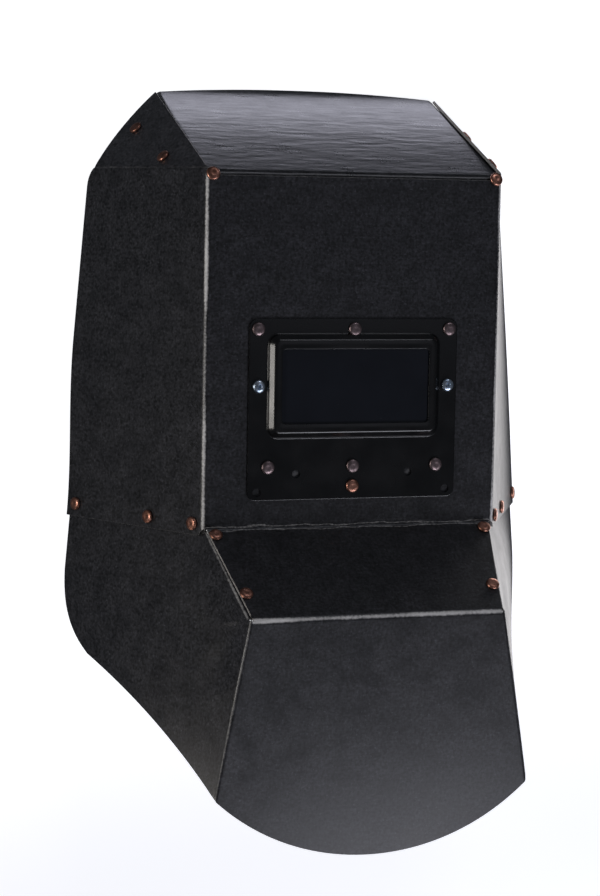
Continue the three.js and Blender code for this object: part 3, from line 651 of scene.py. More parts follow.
def fibreboard(name, colour, worn_colour, roughness, grain_mm, ripple=0.0, wear=1.0):
    """Pressed fibreboard, calendered and dyed black.

    The rollers leave a satin skin with a fine cross grain that glints, and a few pale flecks
    of fibre; where it is folded the dyed skin cracks and pales, and the crown has rippled.
    """
    made, tree = new_material(name)
    place = add(tree, "ShaderNodeTexCoord").outputs["Object"]
    mottle = add(tree, "ShaderNodeTexNoise", {"Vector": place, "Scale": per_mm(14), "Detail": 5.0,
                                              "Roughness": 0.62}).outputs["Fac"]
    lengthwise = add(tree, "ShaderNodeMapping", {"Vector": place, "Scale": (1.0, 0.6, 0.6)})
    crosswise = add(tree, "ShaderNodeMapping", {"Vector": place, "Scale": (0.6, 1.0, 1.0)})
    along, across = (add(tree, "ShaderNodeTexNoise", {"Vector": way.outputs[0], "Scale": per_mm(grain_mm),
                                                      "Detail": 2.0}).outputs["Fac"]
                     for way in (lengthwise, crosswise))
    grain = add(tree, "ShaderNodeMath", {0: along, 1: across}, operation="ADD").outputs[0]
    flecks = add(tree, "ShaderNodeTexNoise", {"Vector": place, "Scale": per_mm(grain_mm), "Detail": 1.0})
    pale = add(tree, "ShaderNodeMapRange", {"Value": flecks.outputs["Fac"],
                                            "From Min": 0.62, "From Max": 0.8})
    hatch = add(tree, "ShaderNodeMapRange", {"Value": grain, "From Min": 0.75, "From Max": 1.25,
                                             "To Min": 0.1, "To Max": 2.1})
    cloud = add(tree, "ShaderNodeMapRange", {"Value": mottle, "From Min": 0.35, "From Max": 0.65,
                                             "To Min": 0.7, "To Max": 1.3})
    shade = add(tree, "ShaderNodeMath", {0: hatch.outputs[0], 1: cloud.outputs[0]}, operation="MULTIPLY")
    lifted = add(tree, "ShaderNodeMath", {0: pale.outputs[0], 1: 2.6, 2: shade.outputs[0]},
                 operation="MULTIPLY_ADD")
    skin = add(tree, "ShaderNodeVectorMath", {0: colour[:3], "Scale": lifted.outputs[0]}, operation="SCALE")
    # a soft worn band along each fold, broken by fine noise
    far, worn, spread, wrinkled = (add(tree, "ShaderNodeAttribute", attribute_name=key).outputs["Fac"]
                                   for key in ("fold_mm", "fold_worn", "fold_spread", "fold_wrinkled"))
    ragged = add(tree, "ShaderNodeTexNoise", {"Vector": place, "Scale": per_mm(1.6), "Detail": 4.0})
    shifted = add(tree, "ShaderNodeMath", {0: ragged.outputs["Fac"], 1: 1.3, 2: far},
                  operation="MULTIPLY_ADD")
    breadth = add(tree, "ShaderNodeTexNoise", {"Vector": place, "Scale": per_mm(60), "Detail": 2.0})
    widened = add(tree, "ShaderNodeMapRange", {"Value": breadth.outputs["Fac"], "From Min": 0.35,
                                               "From Max": 0.65, "To Min": 0.7, "To Max": 1.25})
    outer = add(tree, "ShaderNodeMath", {0: spread, 1: widened.outputs[0], 2: 1.0}, operation="MULTIPLY_ADD")
    inner = add(tree, "ShaderNodeMath", {0: outer.outputs[0], 1: 1.4}, operation="SUBTRACT")
    band = add(tree, "ShaderNodeMapRange", {"Value": shifted.outputs[0], "From Min": outer.outputs[0],
                                            "From Max": inner.outputs[0]}, interpolation_type="SMOOTHSTEP")
    patchy = add(tree, "ShaderNodeMapRange", {"Value": mottle, "From Min": 0.35, "From Max": 0.6,
                                              "To Min": 0.78, "To Max": 1.0})
    amount = band
    for factor in (patchy.outputs[0], worn):
        amount = add(tree, "ShaderNodeMath", {0: amount.outputs[0], 1: factor}, operation="MULTIPLY")
    # a wrinkled fold cracks in one wandering line on each side, broken here and there
    stretched = add(tree, "ShaderNodeMapping", {"Vector": place, "Scale": (1.0, 3.0, 3.0)})
    wander = add(tree, "ShaderNodeTexNoise", {"Vector": stretched.outputs[0], "Scale": per_mm(16),
                                              "Detail": 4.0, "Roughness": 0.6})
    line_at = add(tree, "ShaderNodeMapRange", {"Value": wander.outputs["Fac"], "From Min": 0.3,
                                               "From Max": 0.7, "To Min": 0.3, "To Max": 2.2})
    apart = add(tree, "ShaderNodeMath", {0: far, 1: line_at.outputs[0]}, operation="SUBTRACT")
    apart = add(tree, "ShaderNodeMath", {0: apart.outputs[0]}, operation="ABSOLUTE")
    thin = add(tree, "ShaderNodeMapRange", {"Value": apart.outputs[0], "From Min": 0.42, "From Max": 0.12})
    broken = add(tree, "ShaderNodeMapRange", {"Value": ragged.outputs["Fac"], "From Min": 0.35,
                                              "From Max": 0.6, "To Min": 0.1, "To Max": 0.45})
    scratch = thin
    for factor in (broken.outputs[0], wrinkled):
        scratch = add(tree, "ShaderNodeMath", {0: scratch.outputs[0], 1: factor}, operation="MULTIPLY")
    amount = add(tree, "ShaderNodeMath", {0: amount.outputs[0], 1: scratch.outputs[0]},
                 operation="MAXIMUM")
    amount = add(tree, "ShaderNodeMath", {0: amount.outputs[0], 1: wear}, operation="MULTIPLY")
    base = add(tree, "ShaderNodeMix", {"Factor": amount.outputs[0], "A": skin.outputs[0], "B": worn_colour},
               data_type="RGBA")
    rough = add(tree, "ShaderNodeMapRange", {"Value": mottle, "From Min": 0.35, "From Max": 0.65,
                                             "To Min": roughness - 0.03, "To Max": roughness + 0.04})
    rough = add(tree, "ShaderNodeMath", {0: amount.outputs[0], 1: 0.15, 2: rough.outputs[0]},
                operation="MULTIPLY_ADD")
    relief = add(tree, "ShaderNodeBump", {"Height": grain, "Distance": 0.00005, "Strength": 0.5})
    relief = add(tree, "ShaderNodeBump", {"Height": mottle, "Distance": 0.00006, "Strength": 0.5,
                                          "Normal": relief.outputs[0]})
    if ripple:
        drawn_out = add(tree, "ShaderNodeMapping", {"Vector": place, "Scale": (0.28, 1.0, 1.0)})
        waves = add(tree, "ShaderNodeTexNoise", {"Vector": drawn_out.outputs[0], "Scale": per_mm(5),
                                                 "Detail": 1.5, "Roughness": 0.45, "Distortion": 0.15})
        relief = add(tree, "ShaderNodeBump", {"Height": waves.outputs["Fac"], "Distance": ripple,
                                              "Strength": 1.0, "Normal": relief.outputs[0]})
    surface = add(tree, "ShaderNodeBsdfPrincipled", {
        "Base Color": base.outputs["Result"], "Roughness": rough.outputs[0], "IOR": 1.5,
        "Normal": relief.outputs[0]})
    add(tree, "ShaderNodeOutputMaterial", {"Surface": surface.outputs[0]})
    return made


def cut_board(colour):
    """The board's sheared edge: undyed grey-brown fibre in fine layers, rough and dull."""
    made, tree = new_material("fibreboard_cut_edge")
    place = add(tree, "ShaderNodeTexCoord").outputs["Object"]
    fibres = add(tree, "ShaderNodeTexNoise", {"Vector": place, "Scale": per_mm(1.5), "Detail": 3.0})
    tone = add(tree, "ShaderNodeMapRange", {"Value": fibres.outputs["Fac"], "From Min": 0.3, "From Max": 0.7,
                                            "To Min": 0.5, "To Max": 1.4})
    shade = add(tree, "ShaderNodeVectorMath", {0: colour[:3], "Scale": tone.outputs[0]}, operation="SCALE")
    relief = add(tree, "ShaderNodeBump", {"Height": fibres.outputs["Fac"], "Distance": 0.0002,
                                          "Strength": 0.6})
    surface = add(tree, "ShaderNodeBsdfPrincipled", {
        "Base Color": shade.outputs[0], "Roughness": 0.85, "Normal": relief.outputs[0]})
    add(tree, "ShaderNodeOutputMaterial", {"Surface": surface.outputs[0]})
    return made


def enamelled_steel(name, colour, roughness):
    """Stoving enamel on pressed steel: a satin black film with faint orange peel."""
    made, tree = new_material(name)
    place = add(tree, "ShaderNodeTexCoord").outputs["Object"]
    peel = add(tree, "ShaderNodeTexNoise", {"Vector": place, "Scale": per_mm(2.5), "Detail": 2.0})
    clouds = add(tree, "ShaderNodeTexNoise", {"Vector": place, "Scale": per_mm(20), "Detail": 3.0})
    rough = add(tree, "ShaderNodeMapRange", {
        "Value": clouds.outputs["Fac"], "From Min": 0.3, "From Max": 0.7,
        "To Min": roughness - 0.04, "To Max": roughness + 0.05})
    shade = add(tree, "ShaderNodeMapRange", {"Value": clouds.outputs["Fac"], "To Min": 0.8, "To Max": 1.2})
    tinted = add(tree, "ShaderNodeVectorMath", {0: colour[:3], "Scale": shade.outputs[0]}, operation="SCALE")
    relief = add(tree, "ShaderNodeBump", {"Height": peel.outputs["Fac"], "Distance": 0.00004,
                                          "Strength": 0.4})
    surface = add(tree, "ShaderNodeBsdfPrincipled", {
        "Base Color": tinted.outputs[0], "Roughness": rough.outputs[0], "IOR": 1.5,
        "Normal": relief.outputs[0]})
    add(tree, "ShaderNodeOutputMaterial", {"Surface": surface.outputs[0]})
    return made


def filter_glass(colour):
    """Drawn welding filter glass: so dark that it reads as polished blue-black, faintly wavy."""
    made, tree = new_material("welding_filter_glass")
    place = add(tree, "ShaderNodeTexCoord").outputs["Object"]
    waves = add(tree, "ShaderNodeTexNoise", {"Vector": place, "Scale": per_mm(25), "Detail": 2.0})
    dust = add(tree, "ShaderNodeTexNoise", {"Vector": place, "Scale": per_mm(1.8), "Detail": 2.0})
    specks = add(tree, "ShaderNodeMapRange", {"Value": dust.outputs["Fac"], "From Min": 0.68,
                                              "From Max": 0.8, "To Min": 0.06, "To Max": 0.3})
    relief = add(tree, "ShaderNodeBump", {"Height": waves.outputs["Fac"], "Distance": 0.0001,
                                          "Strength": 0.3})
    tone = add(tree, "ShaderNodeMapRange", {"Value": waves.outputs["Fac"], "To Min": 0.7, "To Max": 1.3})
    tinted = add(tree, "ShaderNodeVectorMath", {0: colour[:3], "Scale": tone.outputs[0]}, operation="SCALE")
    surface = add(tree, "ShaderNodeBsdfPrincipled", {
        "Base Color": tinted.outputs[0], "Roughness": specks.outputs[0], "IOR": 1.52,
        "Normal": relief.outputs[0]})
    add(tree, "ShaderNodeOutputMaterial", {"Surface": surface.outputs[0]})
    return made


def plated_metal(name, colour, dull_colour, roughness):
    """A thin plating on small pressed or turned metal, tarnished in patches and lightly scuffed."""
    made, tree = new_material(name)
    place = add(tree, "ShaderNodeTexCoord").outputs["Object"]
    patches = add(tree, "ShaderNodeTexNoise", {"Vector": place, "Scale": per_mm(3.5), "Detail": 4.0})
    scuffs = add(tree, "ShaderNodeTexNoise", {"Vector": place, "Scale": per_mm(0.9), "Detail": 2.0})
    dull = add(tree, "ShaderNodeMapRange", {"Value": patches.outputs["Fac"],
                                            "From Min": 0.4, "From Max": 0.65})
    tinted = add(tree, "ShaderNodeMix", {"Factor": dull.outputs[0], "A": colour, "B": dull_colour},
                 data_type="RGBA")
    rough = add(tree, "ShaderNodeMapRange", {
        "Value": patches.outputs["Fac"], "From Min": 0.3, "From Max": 0.7,
        "To Min": roughness - 0.08, "To Max": roughness + 0.1})
    relief = add(tree, "ShaderNodeBump", {"Height": scuffs.outputs["Fac"], "Distance": 0.00006,
                                          "Strength": 0.5})
    surface = add(tree, "ShaderNodeBsdfPrincipled", {
        "Base Color": tinted.outputs["Result"], "Metallic": 1.0, "Roughness": rough.outputs[0],
        "Normal": relief.outputs[0]})
    add(tree, "ShaderNodeOutputMaterial", {"Surface": surface.outputs[0]})
    return made


# Window

def rounded_loop(half, centre, corner, z, steps=10):
    """A rounded rectangle, counter-clockwise seen from the front."""
    points = []
    for quarter, (sx, sy) in enumerate([(1, 1), (-1, 1), (-1, -1), (1, -1)]):
        for i in range(steps + 1):
            angle = (quarter + i / steps) * math.pi / 2
            points.append(((sx * (half[0] - corner) + corner * math.cos(angle)),
                           centre + sy * (half[1] - corner) + corner * math.sin(angle), z))
    return points


def ring_mesh(name, loops):
    """A closed ring from loops that run round its section."""
    made = bmesh.new()
    rows = [[made.verts.new(p) for p in loop] for loop in loops]
    for row, other in zip(rows, rows[1:] + rows[:1]):
        for i in range(len(row)):
            made.faces.new((row[i - 1], row[i], other[i], other[i - 1]))
    bmesh.ops.recalc_face_normals(made, faces=made.faces)
    return mesh_from(made, name)


def plate_loops():
    """The plate's section in loops: its rim, the bezel's fillet, slope and rim, the lip, the back."""
    t = PLATE["thickness"]
    top = t + BEZEL["height"]

    def plate(z, inset=0.0):
        half = [h - inset for h in PLATE["half"]]
        return rounded_loop(half, PLATE["centre"], PLATE["corner"] - inset, GAP + z)

    def bezel(inset, z):
        half = [h - inset for h in BEZEL["half"]]
        return rounded_loop(half, BEZEL["centre"], max(BEZEL["corner"] - inset, 1.5), GAP + z)

    def opening(grow, z):
        half = [h + grow for h in OPENING["half"]]
        return rounded_loop(half, BEZEL["centre"], OPENING["corner"] + grow, GAP + z)

    slope = BEZEL["slope"]
    return [
        plate(0.0), plate(t - 0.3), plate(t - 0.08, 0.1), plate(t, 0.35), plate(t, 0.7),
        bezel(-1.9, t), bezel(-1.6, t), bezel(-1.2, t + 0.15), bezel(-0.9, t + 0.6), bezel(-0.7, t + 1.3),
        bezel(-0.45, t + 1.7), bezel(-0.25, t + 1.9), bezel(slope - 0.55, top - 0.85),
        bezel(slope - 0.35, top - 0.65), bezel(slope + 0.05, top - 0.35),
        bezel(slope + 0.5, top - 0.08), bezel(slope + 0.9, top),
        opening(0.45, top), opening(0.13, top - 0.1), opening(0.0, top - 0.4),
        opening(0.0, top - t), opening(1.2, top - t), bezel(slope + t, top - t), bezel(t, 0.0),
    ]


def window_plate_mesh(finish):
    mesh = ring_mesh("plate", plate_loops())
    mesh.materials.append(finish)
    work = link(bpy.data.objects.new("plate_work", mesh))
    drill = bmesh.new()
    for x, y in HOLES:
        for side in (-1, 1):
            place = Matrix.Translation((side * x, y, GAP + PLATE["thickness"] / 2))
            bmesh.ops.create_cone(drill, cap_ends=True, segments=28, radius1=HOLE_RADIUS,
                                  radius2=HOLE_RADIUS, depth=4, matrix=place)
    made = carved(work, drill, "plate")
    made.shade_smooth()
    made.set_sharp_from_angle(angle=math.radians(38))
    made.transform(REST)
    return made


def glass_mesh(finish):
    made = bmesh.new()
    bmesh.ops.create_cube(made, size=2)
    half = (*GLASS["half"], GLASS["thickness"] / 2)
    middle = BEZEL["height"] - GLASS["thickness"] / 2
    bmesh.ops.transform(made, verts=made.verts, matrix=Matrix.Translation((0, BEZEL["centre"], middle))
                        @ Matrix.Diagonal((*half, 1)))
    bmesh.ops.bevel(made, geom=made.edges[:], offset=0.3, segments=2, affect="EDGES")
    mesh = mesh_from(made, "glass")
    mesh.materials.append(finish)
    mesh.transform(REST)
    return mesh


# Fasteners

def lathe_mesh(name, profile, sides=28):
    """A body turned round Z from points (radius, height) that start and end on the axis."""
    made = bmesh.new()
    rings = []
    for radius, height in profile:
        if radius < 1e-6:
            rings.append([made.verts.new((0, 0, height))])
        else:
            rings.append([made.verts.new((radius * math.cos(a), radius * math.sin(a), height))
                          for a in (2 * math.pi * i / sides for i in range(sides))])
    for low, high in zip(rings, rings[1:]):
        for i in range(sides):
            corners = [low[i - 1 if len(low) > 1 else 0], low[i if len(low) > 1 else 0],
                       high[i if len(high) > 1 else 0], high[i - 1 if len(high) > 1 else 0]]
            made.faces.new(list(dict.fromkeys(corners)))
    bmesh.ops.recalc_face_normals(made, faces=made.faces)
    mesh = mesh_from(made, name)
    mesh.shade_smooth()
    mesh.set_sharp_from_angle(angle=math.radians(50))
    return mesh


def rivet_profile(radius, height, grip):
    """Tail disc, shank and a low domed head with a small dimple left by the setting tool."""
    tail = -grip - GAP
    return [*[(r, tail - h) for r, h in RIVET_TAIL], (RIVET_SHANK, GAP),
            *[(r * radius, GAP + h * height) for r, h in RIVET_HEAD]]


def screw_mesh(radius, height):
    """A pan-head machine screw with a cross recess."""
    end = -(PLATE["thickness"] + GAP + LAP + HOLDER_THICKNESS + GAP + NUT_HEIGHT + SCREW["spare"])
    profile = [*[(r, end + h) for r, h in SCREW_END], (SCREW["shank"], GAP),
               *[(r * radius, GAP + h * height) for r, h in SCREW_HEAD]]
    work = link(bpy.data.objects.new("screw_work", lathe_mesh("screw", profile, 32)))
    recess = bmesh.new()
    for turn in (0, math.pi / 2):
        bmesh.ops.create_cone(
            recess, cap_ends=True, segments=4, radius1=0.25 * radius, radius2=0.95 * radius, depth=height,
            matrix=Matrix.Translation((0, 0, GAP + height * 0.95)) @ Matrix.Rotation(turn, 4, "Z")
            @ Matrix.Diagonal((1, 0.26, 1, 1)) @ Matrix.Rotation(math.pi / 4, 4, "Z"))
    made = carved(work, recess, "screw", use_self=True)
    made.set_sharp_from_angle(angle=math.radians(35))
    return made


def both_sides(name, place, normal):
    flip = np.array((-1, 1, 1))
    return [(name + "_left", place, normal), (name + "_right", place * flip, normal * flip)]


def shell_rivet_places():
    """Node name, place on the outer surface and facing of each rivet in the sheets."""
    places = []
    for i, (depth, height) in enumerate(SEAM_RIVETS, 1):
        across = on_upper(depth + 0.5, height) - on_upper(depth - 0.5, height)
        up = on_upper(depth, height + 0.5) - on_upper(depth, height - 0.5)
        places += both_sides(f"seam_rivet_{i}", on_upper(depth, height), unit(np.cross(across, up)))
    for i, (depth, share) in enumerate(HIP_RIVETS, 1):
        top = crown_fold(depth) + HIP_NORMAL * LAP
        places += both_sides(f"hip_rivet_{i}", lerp(top, hip_fold(depth), share), HIP_NORMAL)
    for i, (down, inset) in enumerate(CHIN_RIVETS, 1):
        t = down / math.hypot(CHIN["reach"], CHIN["drop"])
        half = lerp(CHIN_TOP[2], CHIN["half"], t) - inset
        place = point(half, -CHIN["drop"] * t, CHIN["reach"] * t)
        places += both_sides(f"chin_rivet_{i}", place, CHIN_NORMAL)
    places += both_sides("corner_rivet", point(*CORNER_RIVET, 0), unit(point(0.1, 0.35, 1)))
    return places


def plate_rivet_places():
    z = GAP + PLATE["thickness"]
    places = []
    for name, half, height in PLATE_RIVETS:
        places += both_sides(f"plate_rivet_{name}", point(half, height, z), point(0, 0, 1))
    for name, height in PLATE_MIDDLE_RIVETS:
        places.append((f"plate_rivet_{name}_middle", point(0, height, z), point(0, 0, 1)))
    return places


def fastener_tree():
    """Geometry Nodes: one fastener on each mark, turned to the mark's facing and spin."""
    tree = bpy.data.node_groups.new("Fasteners on marks", "GeometryNodeTree")
    face = tree.interface
    face.new_socket("Marks", in_out="INPUT", socket_type="NodeSocketGeometry")
    face.new_socket("Fastener", in_out="INPUT", socket_type="NodeSocketObject")
    face.new_socket("Finish", in_out="INPUT", socket_type="NodeSocketMaterial")
    face.new_socket("Size", in_out="INPUT", socket_type="NodeSocketFloat").default_value = 1.0
    face.new_socket("Fasteners", in_out="OUTPUT", socket_type="NodeSocketGeometry")
    source = add(tree, "NodeGroupInput")
    model = add(tree, "GeometryNodeObjectInfo", {"Object": source.outputs["Fastener"]})
    facing = add(tree, "GeometryNodeInputNamedAttribute", {"Name": "facing"}, data_type="FLOAT_VECTOR")
    spin = add(tree, "GeometryNodeInputNamedAttribute", {"Name": "spin"}, data_type="FLOAT")
    upright = add(tree, "FunctionNodeAlignRotationToVector", {"Vector": facing.outputs[0]}, axis="Z")
    turned = add(tree, "FunctionNodeAxisAngleToRotation", {"Axis": (0, 0, 1), "Angle": spin.outputs[0]})
    both = add(tree, "FunctionNodeRotateRotation", {
        "Rotation": upright.outputs[0], "Rotate By": turned.outputs[0]}, rotation_space="LOCAL")
    set_out = add(tree, "GeometryNodeInstanceOnPoints", {
        "Points": source.outputs["Marks"], "Instance": model.outputs["Geometry"],
        "Rotation": both.outputs[0], "Scale": source.outputs["Size"]})
    real = add(tree, "GeometryNodeRealizeInstances", {"Geometry": set_out.outputs[0]})
    coated = add(tree, "GeometryNodeSetMaterial", {
        "Geometry": real.outputs[0], "Material": source.outputs["Finish"]})
    add(tree, "NodeGroupOutput", {"Fasteners": coated.outputs[0]})
    return tree


def set_fasteners(name, tree, places, model_mesh, finish):
    """The fasteners on their places as one plain mesh in the row frame."""
    marks = bpy.data.meshes.new(name + "_marks")
    marks.from_pydata([p for _, p, _ in places], [], [])
    facing = marks.attributes.new("facing", "FLOAT_VECTOR", "POINT")
    facing.data.foreach_set("vector", np.concatenate([n for _, _, n in places]).astype(np.float32))
    set_attribute(marks, "spin", [noise.random() * 2 * math.pi for _ in places])
    work = link(bpy.data.objects.new(name + "_work", marks))
    model = link(bpy.data.objects.new(name + "_model", model_mesh))
    nodes = work.modifiers.new("Fasteners", "NODES")
    nodes.node_group = tree
    sockets = {s.name: s.identifier for s in tree.interface.items_tree if s.in_out == "INPUT"}
    nodes[sockets["Fastener"]] = model
    nodes[sockets["Finish"]] = finish
    nodes[sockets["Size"]] = 1.0
    made = plain_mesh(work, name)
    bpy.data.objects.remove(model)
    made.transform(REST)
    return made


# What a user changes

class BoardSettings(bpy.types.PropertyGroup):
    colour: bpy.props.FloatVectorProperty(
        name="Board", description="Dyed skin of the fibreboard", size=4, subtype="COLOR", min=0,
        max=1, default=linear("#19191c"))
    crown_colour: bpy.props.FloatVectorProperty(
        name="Crown board", description="Dyed skin of the crown panel", size=4, subtype="COLOR",
        min=0, max=1, default=linear("#1a1a1d"))
    worn_colour: bpy.props.FloatVectorProperty(
        name="Worn folds", description="Paled fibre along the folds", size=4, subtype="COLOR",
        min=0, max=1, default=linear("#d4d2d0"))
    cut_colour: bpy.props.FloatVectorProperty(
        name="Cut edge", description="Sheared edge of the board", size=4, subtype="COLOR", min=0,
        max=1, default=linear("#6f6c69"))
    roughness: bpy.props.FloatProperty(
        name="Roughness", description="Dullness of the board's skin", default=0.38, min=0.05, max=1,
        subtype="FACTOR")
    crown_roughness: bpy.props.FloatProperty(
        name="Crown roughness", description="Dullness of the crown's skin", default=0.30, min=0.05,
        max=1, subtype="FACTOR")
    wear: bpy.props.FloatProperty(
        name="Wear", description="How far the folds have paled", default=1.0, min=0, max=1,
        subtype="FACTOR")
    grain: bpy.props.FloatProperty(
        name="Grain", description="Width of the board's cross grain", default=0.0014, min=0.0003,
        max=0.01, unit="LENGTH")
    ripple: bpy.props.FloatProperty(
        name="Ripple", description="Height of the crown's ripples", default=0.0003, min=0,
        max=0.002, unit="LENGTH")
    warp: bpy.props.FloatProperty(
        name="Warp", description="How uneven the sheets have become", default=0.00025, min=0,
        max=0.0003, unit="LENGTH")
    edge: bpy.props.FloatProperty(
        name="Cut edge rounding", description="Rounding of the sheared edges", default=0.0003,
        min=0, max=0.0008, unit="LENGTH")


class WindowSettings(bpy.types.PropertyGroup):
    enamel: bpy.props.FloatVectorProperty(
        name="Enamel", description="Enamel of the window plate", size=4, subtype="COLOR", min=0,
        max=1, default=linear("#080809"))
    glass: bpy.props.FloatVectorProperty(
        name="Glass", description="Colour of the filter glass", size=4, subtype="COLOR", min=0,
        max=1, default=linear("#15171d"))
    roughness: bpy.props.FloatProperty(
        name="Roughness", description="Dullness of the enamel", default=0.25, min=0.05, max=1,
        subtype="FACTOR")


class FastenerSettings(bpy.types.PropertyGroup):
    rivet_radius: bpy.props.FloatProperty(
        name="Rivet radius", description="Radius of a rivet's head", default=0.0042, min=0.002,
        max=0.006, unit="LENGTH")
    rivet_height: bpy.props.FloatProperty(
        name="Rivet height", description="Height of a rivet's head", default=0.0019, min=0.0005,
        max=0.003, unit="LENGTH")
    screw_radius: bpy.props.FloatProperty(
        name="Screw radius", description="Radius of a screw's head", default=0.004, min=0.002,
        max=0.006, unit="LENGTH")
    screw_height: bpy.props.FloatProperty(
        name="Screw height", description="Height of a screw's head", default=0.0024, min=0.0005,
        max=0.003, unit="LENGTH")
    copper: bpy.props.FloatVectorProperty(
        name="Copper", description="Copper of the rivets in the sheets", size=4, subtype="COLOR",
        min=0, max=1, default=linear("#c08a77"))
    tarnish: bpy.props.FloatVectorProperty(
        name="Tarnish", description="Tarnished patches", size=4, subtype="COLOR", min=0, max=1,
        default=linear("#7a5546"))
    plate_copper: bpy.props.FloatVectorProperty(
        name="Plate rivets", description="Dulled copper on the plate", size=4, subtype="COLOR",
        min=0, max=1, default=linear("#8d7c7d"))
    plate_tarnish: bpy.props.FloatVectorProperty(
        name="Plate tarnish", description="Tarnish of the plate's rivets", size=4, subtype="COLOR",
        min=0, max=1, default=linear("#665a5b"))
    zinc: bpy.props.FloatVectorProperty(
        name="Zinc", description="Plating of the screws and nuts", size=4, subtype="COLOR", min=0,
        max=1, default=linear("#dbe6f3"))
    zinc_bloom: bpy.props.FloatVectorProperty(
        name="Zinc bloom", description="Dulled patches of the plating", size=4, subtype="COLOR",
        min=0, max=1, default=linear("#8fa3b8"))


class StageSettings(bpy.types.PropertyGroup):
    floor: bpy.props.FloatVectorProperty(
        name="Floor", description="Paper that the mask lies on", size=4, subtype="COLOR", min=0,
        max=1, default=linear("#f4f5f7"))
    floor_glow: bpy.props.FloatProperty(
        name="Floor glow", description="Light of the paper itself, as if lit from below",
        default=0.95, min=0, max=2)
    surround: bpy.props.FloatVectorProperty(
        name="Surround", description="Dim room round the table", size=4, subtype="COLOR", min=0,
        max=1, default=linear("#44474c"))
    light: bpy.props.FloatProperty(
        name="Light", description="Strength of all lamps", default=1.0, min=0, max=10)


# Soft boxes: place and aim in metres in the row frame, size, power in watts, colour.
# left_card stands beside the mask. The other three cards lie on the paper, beyond the crown,
# beside the mask and at its foot, and light only upwards.
LAMPS = [
    ("left_card", (-1.2, -0.05, 0.56), (0, 0.05, 0.12), (0.5, 0.2), 4.9, "#fffaf4"),
    ("top_strip", (0.40, 1.15, 0.95), (0, 0.06, 0.12), (0.6, 0.18), 1.8, "#f2f4ff"),
    ("foot_box", (0.40, -1.0, 0.88), (0, -0.15, 0.15), (0.8, 0.45), 9.5, "#f3f4ff"),
    ("ceiling_box", (0.43, 0.16, 1.35), (0, 0.17, 0.12), (0.5, 0.35), 0.18, "#eef0ff"),
    ("crown_card", (0.045, 0.259, 0.004), (0.045, 0.259, 1.0), (0.27, 0.032), 0.062, "#eeeeff"),
    ("side_card", (0.26, 0.04, 0.004), (0.26, 0.04, 1.0), (0.17, 0.42), 0.58, "#fffcfd"),
    ("corner_card", (-0.39, -0.36, 0.004), (-0.39, -0.36, 1.0), (0.26, 0.3), 0.75, "#fff8f0"),
]


# Operators

class MASK_OT_stage(bpy.types.Operator):
    """Set up the paper floor, the soft boxes and the camera"""

    bl_idname = "mask.stage"
    bl_label = "Stage"

    def execute(self, context):
        settings = context.scene.mask_stage
        self.add_camera(context.scene)
        self.add_floor(settings)
        for name, place, aim, size, power, colour in LAMPS:
            lamp = bpy.data.lights.new(name, "AREA")
            lamp.shape, lamp.size, lamp.size_y = "RECTANGLE", *size
            lamp.energy, lamp.color = power * settings.light, linear(colour)[:3]
            holder = link(bpy.data.objects.new(name, lamp))
            holder.location = place
            holder.visible_camera = False
            holder.rotation_euler = (Vector(aim) - Vector(place)).to_track_quat("-Z", "Y").to_euler()
        self.add_world(context.scene, settings)
        context.scene.view_settings.view_transform = "Standard"
        return {"FINISHED"}

    def add_camera(self, scene):
        azimuth, pitch, roll = (math.radians(CAMERA[k]) for k in ("azimuth", "pitch", "roll"))
        # mask space to camera space, with depth backwards as the second axis
        turn = (Matrix.Rotation(-roll, 3, "Y") @ Matrix.Rotation(pitch, 3, "X")
                @ Matrix.Rotation(azimuth, 3, "Z"))
        swap = Matrix(((1, 0, 0), (0, 0, 1), (0, -1, 0)))
        right, forward, up = (swap @ Vector(row) for row in turn)
        place = swap @ -(turn.transposed() @ Vector(CAMERA["origin"]))
        view = Matrix((right, up, -forward)).transposed().to_4x4()
        view.translation = place
        data = bpy.data.cameras.new("camera")
        data.lens, data.sensor_width, data.clip_start = CAMERA["lens"], 36, 0.05
        camera = link(bpy.data.objects.new("camera", data))
        level = REST @ view
        place = level.translation.copy()
        level = level.to_quaternion().to_matrix().to_4x4()
        level.translation = place
        camera.matrix_world = level
        scene.camera = camera

    def add_floor(self, settings):
        made = bmesh.new()
        bmesh.ops.create_grid(made, x_segments=1, y_segments=1, size=6)
        mesh = mesh_from(made, "floor")
        finish, tree = new_material("white_paper")
        # painted shade: the paper's own glow, which stands in for light from below, falls to half towards
        # the near edge
        spot = add(tree, "ShaderNodeSeparateXYZ", {0: add(tree, "ShaderNodeTexCoord").outputs["Object"]})
        glow_with_painted_falloff = add(tree, "ShaderNodeMapRange", {
            "Value": spot.outputs["Y"], "From Min": -0.30, "From Max": -0.02,
            "To Min": 0.5 * settings.floor_glow, "To Max": settings.floor_glow},
            interpolation_type="SMOOTHSTEP")
        surface = add(tree, "ShaderNodeBsdfPrincipled", {
            "Base Color": settings.floor, "Roughness": 0.9, "Emission Color": settings.floor,
            "Emission Strength": glow_with_painted_falloff.outputs[0]})
        add(tree, "ShaderNodeOutputMaterial", {"Surface": surface.outputs[0]})
        mesh.materials.append(finish)
        floor = link(bpy.data.objects.new("floor", mesh))
        floor.visible_glossy = False

    def add_world(self, scene, settings):
        world = bpy.data.worlds.new("studio")
        world.use_nodes = True
        tree = world.node_tree
        tree.nodes.clear()
        room = add(tree, "ShaderNodeBackground", {"Color": settings.surround, "Strength": 1.0})
        wall = add(tree, "ShaderNodeBackground", {"Color": settings.floor, "Strength": 0.95})
        seen = add(tree, "ShaderNodeLightPath")
        mix = add(tree, "ShaderNodeMixShader", {0: seen.outputs["Is Camera Ray"], 1: room.outputs[0],
                                                2: wall.outputs[0]})
        add(tree, "ShaderNodeOutputWorld", {"Surface": mix.outputs[0]})
        scene.world = world


